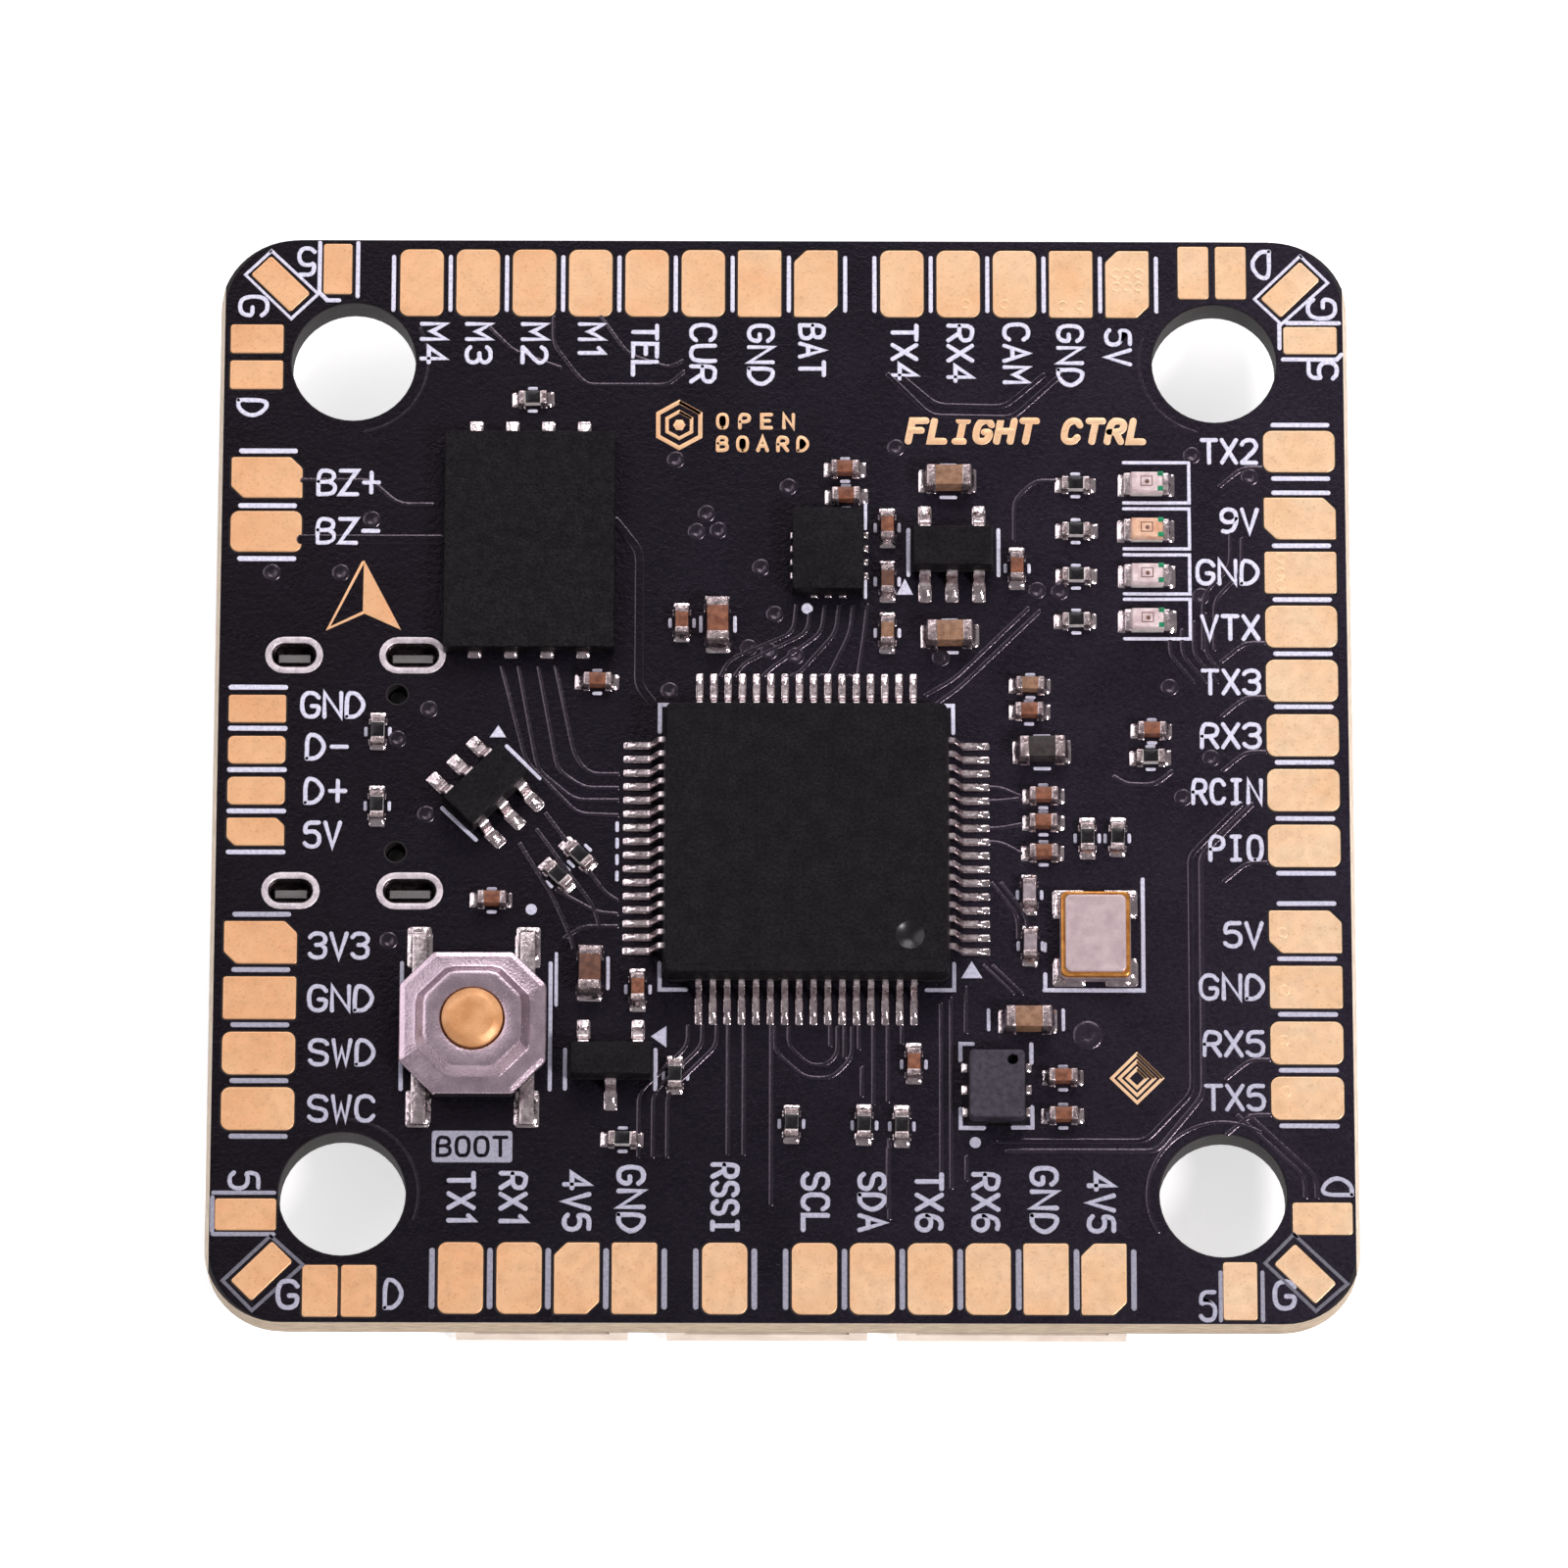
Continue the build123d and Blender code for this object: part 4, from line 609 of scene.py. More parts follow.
def lead(sh, x, y, deg, reach, foot, rise, t, w, z=ZT, mat=0):
    """Formed gull-wing lead with rounded bends; leaves the package at u = 0."""
    s = reach - foot
    a = 0.30 * s
    ctrl = [(-0.10, rise), (a, rise), (s - 0.02, t / 2 + 0.004), (reach, t / 2 + 0.004)]
    path = [ctrl[0]]
    for i in (1, 2):
        p0, p1, p2 = (Vector(ctrl[i - 1]), Vector(ctrl[i]), Vector(ctrl[i + 1]))
        d = min(0.16, (p0 - p1).length * 0.45, (p2 - p1).length * 0.45)
        q0, q2 = p1 + (p0 - p1).normalized() * d, p1 + (p2 - p1).normalized() * d
        for k in range(5):
            f = k / 4
            q = q0 * (1 - f) ** 2 + p1 * 2 * f * (1 - f) + q2 * f * f
            path.append((q.x, q.y))
    path.append(ctrl[-1])
    b = min(t, w) * 0.22
    sec = [(-w / 2 + b, -t / 2), (w / 2 - b, -t / 2), (w / 2, -t / 2 + b), (w / 2, t / 2 - b),
           (w / 2 - b, t / 2), (-w / 2 + b, t / 2), (-w / 2, t / 2 - b), (-w / 2, -t / 2 + b)]
    loops = []
    for i, p in enumerate(path):
        q0, q1 = path[max(i - 1, 0)], path[min(i + 1, len(path) - 1)]
        d = Vector((q1[0] - q0[0], q1[1] - q0[1])).normalized()
        nx, nz = -d.y, d.x
        loops.append(turn([(p[0] + nx * v, u, z + p[1] + nz * v) for u, v in sec], x, y, deg))
    sh.loops(loops, mat=mat)


# ------------------------------------------------------------- stroke lettering
GLYPH = {
    "A": [[(0, 0), (.5, 1), (1, 0)], [(.17, .34), (.83, .34)]],
    "B": [[(0, 0), (0, 1), (.65, 1), (.93, .88), (.93, .64), (.65, .53), (0, .53)], [(.65, .53), (1, .4), (1, .13), (.68, 0), (0, 0)]],
    "C": [[(1, .8), (.78, 1), (.25, 1), (0, .76), (0, .24), (.25, 0), (.78, 0), (1, .2)]],
    "D": [[(0, 0), (0, 1), (.55, 1), (1, .66), (1, .34), (.55, 0), (0, 0)]],
    "E": [[(1, 1), (0, 1), (0, 0), (1, 0)], [(0, .53), (.8, .53)]],
    "F": [[(1, 1), (0, 1), (0, 0)], [(0, .53), (.8, .53)]],
    "G": [[(1, .8), (.76, 1), (.25, 1), (0, .76), (0, .24), (.25, 0), (.78, 0), (1, .2), (1, .45), (.58, .45)]],
    "H": [[(0, 0), (0, 1)], [(1, 0), (1, 1)], [(0, .5), (1, .5)]],
    "I": [[(.5, 0), (.5, 1)], [(.2, 0), (.8, 0)], [(.2, 1), (.8, 1)]],
    "L": [[(0, 1), (0, 0), (1, 0)]],
    "M": [[(0, 0), (0, 1), (.5, .4), (1, 1), (1, 0)]],
    "N": [[(0, 0), (0, 1), (1, 0), (1, 1)]],
    "O": [[(.5, 0), (.2, 0), (0, .25), (0, .75), (.2, 1), (.8, 1), (1, .75), (1, .25), (.8, 0), (.5, 0)]],
    "P": [[(0, 0), (0, 1), (.7, 1), (1, .86), (1, .6), (.7, .45), (0, .45)]],
    "R": [[(0, 0), (0, 1), (.7, 1), (1, .86), (1, .6), (.7, .47), (0, .47)], [(.5, .47), (1, 0)]],
    "S": [[(1, .84), (.78, 1), (.22, 1), (0, .84), (0, .66), (.2, .54), (.8, .47), (1, .35), (1, .15), (.78, 0), (.22, 0), (0, .16)]],
    "T": [[(.5, 0), (.5, 1)], [(0, 1), (1, 1)]],
    "U": [[(0, 1), (0, .22), (.22, 0), (.78, 0), (1, .22), (1, 1)]],
    "V": [[(0, 1), (.5, 0), (1, 1)]],
    "W": [[(0, 1), (.25, 0), (.5, .65), (.75, 0), (1, 1)]],
    "X": [[(0, 0), (1, 1)], [(0, 1), (1, 0)]],
    "Y": [[(0, 1), (.5, .5), (1, 1)], [(.5, .5), (.5, 0)]],
    "Z": [[(0, 1), (1, 1), (0, 0), (1, 0)]],
    "0": [[(.5, 0), (.25, 0), (0, .22), (0, .78), (.25, 1), (.75, 1), (1, .78), (1, .22), (.75, 0), (.5, 0)]],
    "1": [[(.15, .8), (.55, 1), (.55, 0)]],
    "2": [[(0, .8), (.22, 1), (.78, 1), (1, .82), (1, .62), (0, .02)], [(0, 0), (1, 0)]],
    "3": [[(0, .85), (.22, 1), (.78, 1), (1, .84), (1, .66), (.72, .53), (.4, .53)], [(.72, .53), (1, .4), (1, .16), (.78, 0), (.22, 0), (0, .15)]],
    "4": [[(.75, 0), (.75, 1), (0, .3), (1, .3)]],
    "5": [[(.95, 1), (.08, 1), (0, .56), (.3, .64), (.75, .62), (1, .45), (1, .17), (.75, 0), (.25, 0), (0, .14)]],
    "6": [[(.9, .95), (.6, 1), (.2, .9), (0, .55), (0, .2), (.25, 0), (.75, 0), (1, .18), (1, .4), (.75, .56), (.25, .56), (0, .4)]],
    "9": [[(.1, .05), (.4, 0), (.8, .1), (1, .45), (1, .8), (.75, 1), (.25, 1), (0, .82), (0, .6), (.25, .44), (.75, .44), (1, .6)]],
    "+": [[(.05, .5), (.95, .5)], [(.5, .08), (.5, .92)]],
    "-": [[(.05, .5), (.95, .5)]],
}
ROUND = set("BCDGOPRSU0235689")


def chaikin(pts, n=2):
    for _ in range(n):
        out = [pts[0]]
        for a, b in zip(pts, pts[1:]):
            out.append((a[0] * .75 + b[0] * .25, a[1] * .75 + b[1] * .25))
            out.append((a[0] * .25 + b[0] * .75, a[1] * .25 + b[1] * .75))
        out.append(pts[-1])
        pts = out
    return pts


def letters(sh, s, start, end, across, cap, deg, stroke=0.14, z=ZT, h=0.034, shear=0.0, mat=0, jitter=0.004, wide=0.58, flank=0.02):
    """Writes s so that the inked lettering runs from start to end along its direction."""
    L = abs(end - start) - stroke
    n = len(s)
    cw = min((cap - stroke) * wide / 0.86, L, max((L - (n - 1) * (stroke + 0.05)) / n, 0.2)) if n > 1 else L
    pitch = (L - cw) / (n - 1) if n > 1 else 0.0
    hh = cap - stroke
    ox, oy = (start, across) if deg in (0, 180) else (across, start)
    for i, ch in enumerate(s):
        if ch == " ":
            continue
        for poly in GLYPH[ch]:
            pts = [(stroke / 2 + i * pitch + (px if ch != "1" else px * 0.8) * cw + shear * (py - 0.5) * hh, (py - 0.5) * hh) for px, py in poly]
            if ch in ROUND and len(pts) > 4:
                pts = chaikin(pts)
            ribbon(sh, turn(pts, ox, oy, deg), stroke, z, h, flank=flank, jitter=jitter, mat=mat)


def dress(node, mat):
    o = n_[node]
    o.data.materials.clear()
    o.data.materials.append(MAT[mat])


for node, mat in (
        ("pcb_laminate", "laminate"), ("solder_mask_top", "lacquer"), ("solder_mask_bottom", "lacquer"),
        ("flash_terminals", "tin"), ("imu_terminals", "tin"), ("usb_shell", "nickel"), ("usb_tongue", "nylon_black"),
        ("usb_contacts", "contact"), ("usb_housing", "nylon_black"), ("connector_4pin_housing", "cream"),
        ("connector_5pin_housing", "cream"), ("connector_6pin_housing", "cream"), ("connector_contacts", "tin"),
        ("connector_anchor_tabs", "tin"), ("led_dies", "die"),
        ("boot_switch_base", "nylon_black")):
    dress(node, mat)

# ---- pads
PADS = []
for px in (-12.87, -10.87, -8.87, -6.87, -4.87, -2.87, 4.19, 6.19, 8.19):
    PADS.append((px, 18.23, 1.55, 2.52, "r", 0))
PADS += [(-0.87, 18.23, 1.55, 2.52, "s", 0), (1.13, 18.23, 1.55, 2.52, "a", 0),
         (10.19, 18.23, 1.55, 2.52, "s", 0), (12.19, 18.23, 1.55, 2.52, "a", 0)]
for px in (-11.12, -9.10, -2.00, 1.10, 3.10, 5.10, 7.10):
    PADS.append((px, -18.25, 1.57, 2.55, "r", 0))
PADS += [(-7.11, -18.25, 1.57, 2.55, "a", 0), (-5.12, -18.25, 1.57, 2.55, "s", 0),
         (9.10, -18.25, 1.57, 2.55, "s", 0), (11.10, -18.25, 1.57, 2.55, "a", 0)]
PADS += [(-18.26, 10.91, 2.52, 1.52, "b", 0), (-18.26, 8.90, 2.52, 1.52, "r", 0),
         (-18.22, -6.20, 2.55, 1.55, "b", 0), (-18.22, -8.21, 2.55, 1.55, "s", 0),
         (-18.22, -10.21, 2.55, 1.55, "r", 0), (-18.22, -12.21, 2.55, 1.55, "r", 0)]
PADS += [(-18.46, 2.34, 2.02, 1.02, "s", 0), (-18.46, 0.83, 2.02, 1.02, "r", 0),
         (-18.46, -0.67, 2.02, 1.02, "r", 0), (-18.46, -2.17, 2.02, 1.02, "b", 0)]
for py in (11.97, 5.46, 3.46, 1.45, -0.56, -2.60, -9.76, -11.75):
    PADS.append((18.22, py, 2.54, 1.55, "r", 0))
PADS += [(18.22, 9.47, 2.54, 1.55, "b", 0), (18.22, 7.46, 2.54, 1.55, "s", 0),
         (18.22, -5.73, 2.54, 1.55, "b", 0), (18.22, -7.74, 2.54, 1.55, "s", 0)]
PADS += [(-15.86, 18.74, 1.02, 1.90, "s", 0), (-17.89, 18.17, 2.00, 1.00, "s", -45),
         (-18.69, 16.10, 1.88, 1.08, "s", 0), (-18.69, 14.75, 1.88, 1.08, "s", 0),
         (14.54, 18.67, 1.10, 1.98, "s", 0), (15.87, 18.67, 1.10, 1.98, "s", 0),
         (17.99, 18.05, 2.00, 1.00, "s", 45), (18.67, 16.13, 1.90, 1.02, "s", 0),
         (-18.58, -16.00, 2.12, 1.14, "s", 0), (-17.99, -18.02, 2.00, 1.03, "s", 45),
         (-15.97, -18.72, 1.23, 1.85, "s", 0), (-14.63, -18.72, 1.22, 1.85, "s", 0),
         (18.68, -16.07, 2.08, 1.15, "s", 0), (18.05, -18.04, 2.00, 1.04, "s", -45),
         (15.80, -18.66, 1.18, 2.06, "s", 0)]


def pad_outline(w, h, kind, grow=0.0):
    w2, h2 = w / 2 + grow, h / 2 + grow
    c = 0.42 * min(w, h) / 1.5
    if kind == "r":
        return rounded(2 * w2, 2 * h2, 0.30 * min(w, h) / 1.5 + grow, 6)
    if kind == "s":
        return rounded(2 * w2, 2 * h2, 0.10 + grow, 4)
    if kind == "a":
        p = [(w2, -h2 + c), (w2, h2), (-w2 + c, h2), (-w2, h2 - c), (-w2, -h2), (w2 - c, -h2)]
    else:
        p = [(w2, -h2), (w2, h2 - c), (w2 - c, h2), (-w2, h2), (-w2, -h2 + c), (-w2 + c, -h2)]
    return soften_poly(p, 0.08)


pads = Shape()
for x, y, w, h, kind, a in PADS:
    o = pad_outline(w, h, kind)
    loops = [[(px, py, ZT - 0.04) for px, py in turn(o, x, y, a)]]
    for d, z in ((0.0, ZT - 0.012), (0.012, ZT + 0.002), (0.03, ZT + 0.009), (0.05, ZT + 0.010), (0.085, ZT + 0.0085)):
        loops.append([(px, py, z) for px, py in turn(inset(o, d), x, y, a)])
    pads.loops(loops, fan=True)
for x, y in ((17.40, -5.78), (17.45, -7.86), (17.40, -9.69), (17.45, -11.52), (17.5, 7.98), (17.5, 7.45), (17.5, 6.98), (7.82, 17.45),
             (6.45, 17.45), (9.90, 17.4), (10.50, 17.4), (11.80, 18.62), (12.20, 18.62), (12.60, 18.62), (11.80, 18.12), (12.20, 18.12), (12.60, 18.12)):
    ring_mesh(pads, x, y, [(0.21, ZT + 0.006), (0.185, ZT + 0.017), (0.15, ZT + 0.017), (0.12, ZT + 0.0095), (0.04, ZT + 0.0095)], seg=20)
pads.make("pads_detail", ["gold"], replaces=["solder_pads"], slot="gold_pad", smooth=60)

# ---- raised copper under the lacquer
tr = Shape()


def eased(pts, r=0.35):
    """Rounds the corners of an open run of straight segments."""
    out = [pts[0]]
    for a, b, c in zip(pts, pts[1:], pts[2:]):
        la, lc = math.dist(a, b), math.dist(b, c)
        d = min(r, la * 0.45, lc * 0.45)
        p = (b[0] + (a[0] - b[0]) * d / la, b[1] + (a[1] - b[1]) * d / la)
        q = (b[0] + (c[0] - b[0]) * d / lc, b[1] + (c[1] - b[1]) * d / lc)
        for f in (0.0, 0.33, 0.67, 1.0):
            out.append(tuple(p[k] * (1 - f) ** 2 + b[k] * 2 * f * (1 - f) + q[k] * f * f for k in (0, 1)))
    out.append(pts[-1])
    return out


def trace(pts, w=0.16, h=0.030):
    ribbon(tr, eased(pts), w, ZT, h, flank=0.034)
    if w >= 0.2:
        ribbon(tr, eased(pts), w - 0.085, ZT + 0.004, h - 0.0025, flank=0.006, mat=1)


def shifted(pts, dx, dy):
    return [(p[0] + dx, p[1] + dy) for p in pts]


trace([(-17, 8.6), (-12.1, 8.6)], 0.37)
trace([(-5.93, 9.3), (-5.08, 8.2), (-5.08, 3.2), (-4.6, 2.6)], 0.34)
trace([(-17.0, 10.8), (-14.6, 10.8), (-13.6, 9.9), (-12.4, 9.9)], 0.18)
for pts in ([(-9.9, 3.9), (-9.0, 0.4), (-7.2, -1.5), (-5.8, -1.55)], [(-9.3, 3.9), (-8.6, 0.1), (-7.3, -1.0), (-5.8, -1.0)],
            [(-8.6, 3.9), (-7.9, 0.1), (-7.0, -0.55), (-5.8, -0.55)], [(-8.0, 3.9), (-7.3, 0.6), (-6.8, -0.05), (-5.8, -0.05)],
            [(-8.3, -1.5), (-6.2, -4.4), (-5.8, -4.65)], [(-7.9, -4.3), (-6.5, -5.1), (-5.8, -5.15)],
            [(-7.6, -6.0), (-7.0, -5.6), (-5.8, -5.6)], [(-8.6, -2.1), (-6.6, -4.9), (-6.4, -5.6)],
            [(-9.2, -2.6), (-8.0, -4.6), (-7.4, -6.0), (-7.3, -6.4)]):
    trace(pts)
for i, (xa, xb) in enumerate(((0.45, -2.2), (0.95, -1.7), (1.45, -0.7), (1.95, 0.3), (2.45, 1.3), (2.95, 2.3))):
    trace([(xa, 6.2), (xa - 0.1, 5.2), (xb + 0.3, 4.2 - 0.15 * i), (xb, 3.6)], 0.15)
trace([(9.0, 6.0), (6.2, 3.2), (5.4, 2.6)])
trace([(8.6, 6.1), (6.0, 3.5), (5.0, 2.9)])
trace([(4.1, 14.8), (5.4, 13.65), (7.8, 13.6), (9.2, 14.8)], 0.2)
trace([(3.7, 14.8), (5.2, 13.25), (8.1, 13.2), (9.8, 14.8)], 0.2)
for x, y0, y1 in ((5.5, -8.4, -14.6), (5.85, -8.2, -15.0), (6.37, -7.8, -9.4), (6.37, -13.9, -14.7), (3.15, -9.2, -12.0),
                  (3.65, -9.2, -11.9), (3.65, -13.6, -15.7), (2.75, -10.7, -11.7), (1.65, -9.2, -9.9), (2.15, -9.2, -10.3),
                  (2.65, -9.2, -10.0), (4.15, -9.2, -9.8), (-1.9, -9.2, -13.8), (-1.35, -9.2, -13.8), (-0.4, -9.2, -15.6)):
    trace([(x, y0), (x, y1)])
for k, x in enumerate((14.22, 14.60)):
    trace([(x + 1.8, -1.1), (x + 0.35, -2.6), (x, -3.0), (x, -11.55 - 0.1 * k), (x - 1.65, -13.32 - 0.36 * k), (7.5 + 0.3 * k, -13.32 - 0.36 * k)], 0.20)
trace([(-8.17, 16.94), (-8.17, 15.92), (-7.32, 14.75), (-6.96, 14.4), (-4.09, 14.4), (-3.56, 14.9)], 0.15)
trace([(-6.49, 16.94), (-5.53, 15.54), (-4.09, 15.04), (-3.61, 15.3)], 0.15)
trace([(-10.57, 16.67), (-9.6, 15.66), (-7.92, 15.03)], 0.15)
trace([(3.69, -13.3), (3.69, -16.1)], 0.15)
trace([(-0.29, -9.25), (-0.29, -10.1), (0.77, -11.07), (1.7, -11.07), (2.41, -10.34), (2.41, -9.24)], 0.15)
trace([(0.2, -9.25), (0.2, -9.9), (0.9, -10.6), (1.5, -10.6), (1.9, -10.2), (1.9, -9.24)], 0.15)
trace([(14.76, 4.6), (14.78, 6.64), (15.74, 7.65), (15.76, 8.9)], 0.15)
trace([(15.16, 4.6), (15.18, 6.44), (16.14, 7.45), (16.16, 8.7)], 0.15)
trace([(8.13, 8.63), (8.14, 10.14), (8.86, 10.85), (9.57, 10.85)], 0.15)
trace([(11.6, -0.1), (12.0, -0.37), (13.0, -0.4), (13.6, 0.1)], 0.18)
for s in (0, 0.4):
    trace([(16.2 - s, -12.4), (18.5 - s, -14.6), (18.5 - s, -15.3)], 0.18)
    trace([(7.3 + s * 0.8, -4.0), (8.2 + s * 0.8, -5.2), (8.2 + s * 0.8, -6.0)], 0.15)
    trace([(7.0 + s * 0.8, -7.0), (8.0 + s * 0.8, -8.0)], 0.15)
for y, yy in ((-0.5, -0.82), (-1.0, -0.9), (-2.0, -1.85), (-2.5, -2.9)):
    trace([(6.9, y), (7.6, y), (8.3, yy)], 0.15)
for x0, x1 in ((-3.6, -6.5), (-3.1, -6.1), (-2.6, -5.7)):
    trace([(x0 + 0.3, -9.2), (x0 + 0.3, -9.9), (x0 - 1.4, -11.6), (x0 - 1.4, -13.9)], 0.15)
for i in range(4):
    trace([(14.4 + 0.42 * i, 3.4), (13.6 + 0.42 * i, 4.4), (13.6 + 0.42 * i, 5.0 + 0.3 * i)], 0.16)
for y in (11.97, 5.46, 3.46, 1.45, -2.6, -9.76, -11.75):
    trace([(16.9, y - 0.62), (16.2, y - 0.62), (15.4, y - 1.3)], 0.16)
arc = [(15.25 + 2.62 * math.cos(math.radians(a)), -15.25 + 2.62 * math.sin(math.radians(a))) for a in range(60, 216, 6)]
trace(arc, 0.14)
for cx, cy, a0, a1 in ((-15.25, 15.25, -80, 30), (15.25, 15.25, 160, 262), (-15.25, -15.25, -20, 96)):
    trace([(cx + 2.66 * math.cos(math.radians(a)), cy + 2.66 * math.sin(math.radians(a))) for a in range(a0, a1, 6)], 0.12, 0.009)
VIAS = [(-3.82, 11.6), (0.17, 10.6), (3.97, 12.07), (14.43, 11.81), (16.47, 11.01), (-14.53, 9.35), (-18.03, 7.37), (-15.6, 7.37),
        (-2.72, 9.6), (-3.07, 8.93), (-2.3, 8.97), (-0.8, 7.6), (-0.3, 5.87), (-4.0, 3.03), (-1.23, 4.63), (-0.5, 4.5), (8.93, 6.77),
        (9.73, 6.73), (5.53, 4.27), (0.43, 4.33), (-12.43, 2.33), (-13.53, 1.23), (13.57, 3.2), (15.0, 0.6), (14.7, 6.57),
        (-13.75, -6.13), (14.0, -0.85), (10.6, -9.5), (-12.5, -1.53)]
for x, y in VIAS:
    k = 0.72 if (x, y) != (10.6, -9.5) else 1.15
    ring_mesh(tr, x, y, [(0.46 * k, ZT - 0.002), (0.43 * k, ZT + 0.018), (0.38 * k, ZT + 0.030), (0.24 * k, ZT + 0.030), (0.17 * k, ZT + 0.010), (0.06 * k, ZT + 0.003)], seg=24)
tr.make("lacquered_tracks", ["track_lacquer", "lacquer"], slot="solder_mask", smooth=50)

# ---- printed legend
ink = Shape()
W = 0.15


def line(x0, y0, x1, y1, w=W, mat=0):
    ribbon(ink, [(x0, y0), (x1, y1)], w, ZT, 0.034, jitter=0.003, mat=mat)


def label(s, a, b, c, deg, cap=1.0, stroke=0.155):
    letters(ink, s, a, b, c, cap, deg, stroke)


for x in (-13.87, -11.85, -9.85, -7.85, -5.85, -3.85, -1.83, 0.17, 2.17, 3.21, 5.21, 7.22, 9.22, 11.23, 13.22):
    line(x, 17.2, x, 19.2)
for s, x, a, b in (("M4", -12.43, 16.75, 15.15), ("M3", -10.83, 16.75, 15.15), ("M2", -8.85, 16.75, 15.15), ("M1", -6.83, 16.75, 15.2),
                   ("TEL", -4.93, 16.7, 14.7), ("CUR", -2.87, 16.73, 14.45), ("GND", -0.82, 16.71, 14.37), ("BAT", 0.99, 16.73, 14.7),
                   ("TX4", 4.27, 16.73, 14.58), ("RX4", 6.25, 16.73, 14.5), ("CAM", 8.24, 16.78, 14.45), ("GND", 10.15, 16.73, 14.35), ("5V", 11.85, 16.57, 15.13)):
    label(s, a, b, x, -90)
# these separators take the darker ink copy: painted shade
for x in (-12.11, -10.11, -8.10, -6.10, -4.09, -3.00, -0.98, 0.10, 2.13, 4.13, 6.13, 8.15, 10.15, 12.13):
    line(x, -17.28, x, -19.27, 0.2, mat=1)
for s, x, a, b in (("TX1", -11.13, -14.43, -16.57), ("RX1", -9.33, -14.43, -16.6), ("4V5", -7.13, -14.43, -16.6), ("GND", -5.25, -14.2, -16.65),
                   ("RSSI", -2.0, -14.1, -16.68), ("SCL", 1.13, -14.43, -16.6), ("SDA", 3.09, -14.43, -16.6), ("TX6", 5.07, -14.43, -16.6),
                   ("RX6", 7.03, -14.43, -16.6), ("GND", 9.05, -14.2, -16.65), ("4V5", 11.02, -14.43, -16.63)):
    label(s, a, b, x, -90, 1.03, 0.175)
for y in (11.89, 9.85, 7.88):
    line(-19.18, y, -17.27, y, 0.18)
for y in (3.12, 1.61, 0.09, -1.42, -2.92):
    line(-19.4, y, -17.48, y, 0.18)
# these separators take the darker ink copy: painted shade
for y in (-5.19, -7.20, -9.19, -11.21, -13.21):
    line(-19.13, y, -17.25, y, 0.18, mat=1)
for s, a, b, y in (("BZ+", -16.52, -14.2, 10.72), ("BZ-", -16.52, -14.2, 8.92), ("GND", -16.97, -14.67, 2.48), ("D-", -16.78, -15.2, 0.94),
                   ("D+", -16.81, -15.23, -0.68), ("5V", -16.81, -15.43, -2.28), ("3V3", -16.57, -14.4, -6.32), ("GND", -16.57, -14.23, -8.23),
                   ("SWD", -16.51, -14.15, -10.18), ("SWC", -16.51, -14.13, -12.2)):
    label(s, a, b, y, 0, 1.03)
for y in (12.95, 10.95, 10.42, 8.45, 6.45, 4.45, 2.49, 0.45, -1.61, -3.61, -4.71, -6.72, -8.73, -10.75, -12.75):
    line(17.3, y, 19.23, y, 0.17)
for s, a, b, y in (("TX2", 14.71, 16.78, 11.96), ("9V", 15.37, 16.78, 9.37), ("GND", 14.5, 16.78, 7.46), ("VTX", 14.65, 16.78, 5.41),
                   ("TX3", 14.65, 16.78, 3.4), ("RX3", 14.6, 16.78, 1.42), ("RCIN", 14.27, 16.8, -0.63), ("PIO", 14.85, 16.8, -2.7),
                   ("5V", 15.33, 16.77, -5.85), ("GND", 14.47, 16.79, -7.75), ("RX5", 14.57, 16.77, -9.8), ("TX5", 14.6, 16.77, -11.74)):
    label(s, a, b, y, 0, 1.0)

# corner legends
def path(*pts, w=W, closed=False, mat=0):
    pts = list(pts)
    if closed:
        pts += [pts[0], tuple(pts[0][k] * 0.94 + pts[1][k] * 0.06 for k in (0, 1))]
    ribbon(ink, pts, w, ZT, 0.034, jitter=0.003, mat=mat)


path((-16.51, 19.72), (-16.51, 17.85), (-16.23, 17.55), (-15.8, 17.55))
line(-15.15, 19.71, -15.15, 17.7)
path((-18.23, 19.41), (-19.15, 18.5), (-17.5, 16.85), (-16.55, 17.79), w=0.11, closed=True)
label("5", -16.62, -17.32, 19.01, 180, 1.15)
label("G", 17.76, 16.90, -18.83, -90, 1.12)
label("D", 13.87, 13.15, -18.82, -90, 1.15)
label("D", 17.32, 16.58, 18.97, 180, 1.15)
path((18.35, 19.31), (19.33, 18.3), (17.65, 16.73), (16.71, 17.68), w=0.11, closed=True)
label("G", 16.88, 17.74, 19.09, 90, 1.12)
line(17.85, 16.78, 19.7, 16.78)
path((17.69, 15.41), (19.6, 15.41), (19.77, 15.6))
line(17.58, 16.73, 17.58, 15.83)
label("5", 14.62, 15.38, 19.1, 90, 1.15)
label("5", -14.43, -15.15, -18.65, -90, 1.15)
# corner marks in the darker ink copies: painted shade
line(-19.7, -15.23, -17.6, -15.23, mat=1)
line(-19.7, -16.71, -17.6, -16.71, mat=1)
line(-19.73, -15.4, -19.73, -16.6, mat=1)
path((-17.7, -16.77), (-16.57, -17.8), (-18.3, -19.43), (-19.33, -18.37), w=0.13, closed=True, mat=2)
label("G", -17.50, -16.66, -18.85, 0, 1.12, 0.17)
label("D", -13.8, -13.08, -18.83, 0, 1.15)
label("D", -15.3, -14.56, 19.2, 90, 1.15)
# corner outline in the darkest ink copy: painted shade
path((17.67, -16.63), (19.5, -18.4), (18.4, -19.37), (16.67, -17.67), w=0.13, closed=True, mat=2)
label("G", 16.90, 17.75, -18.8, 0, 1.12, 0.17)
label("5", 14.35, 15.0, -19.2, 0, 1.15)
# these lines take the darker ink copy: painted shade
line(15.12, -18.0, 15.12, -19.7, mat=1)
line(16.57, -18.0, 16.57, -19.7, mat=1)

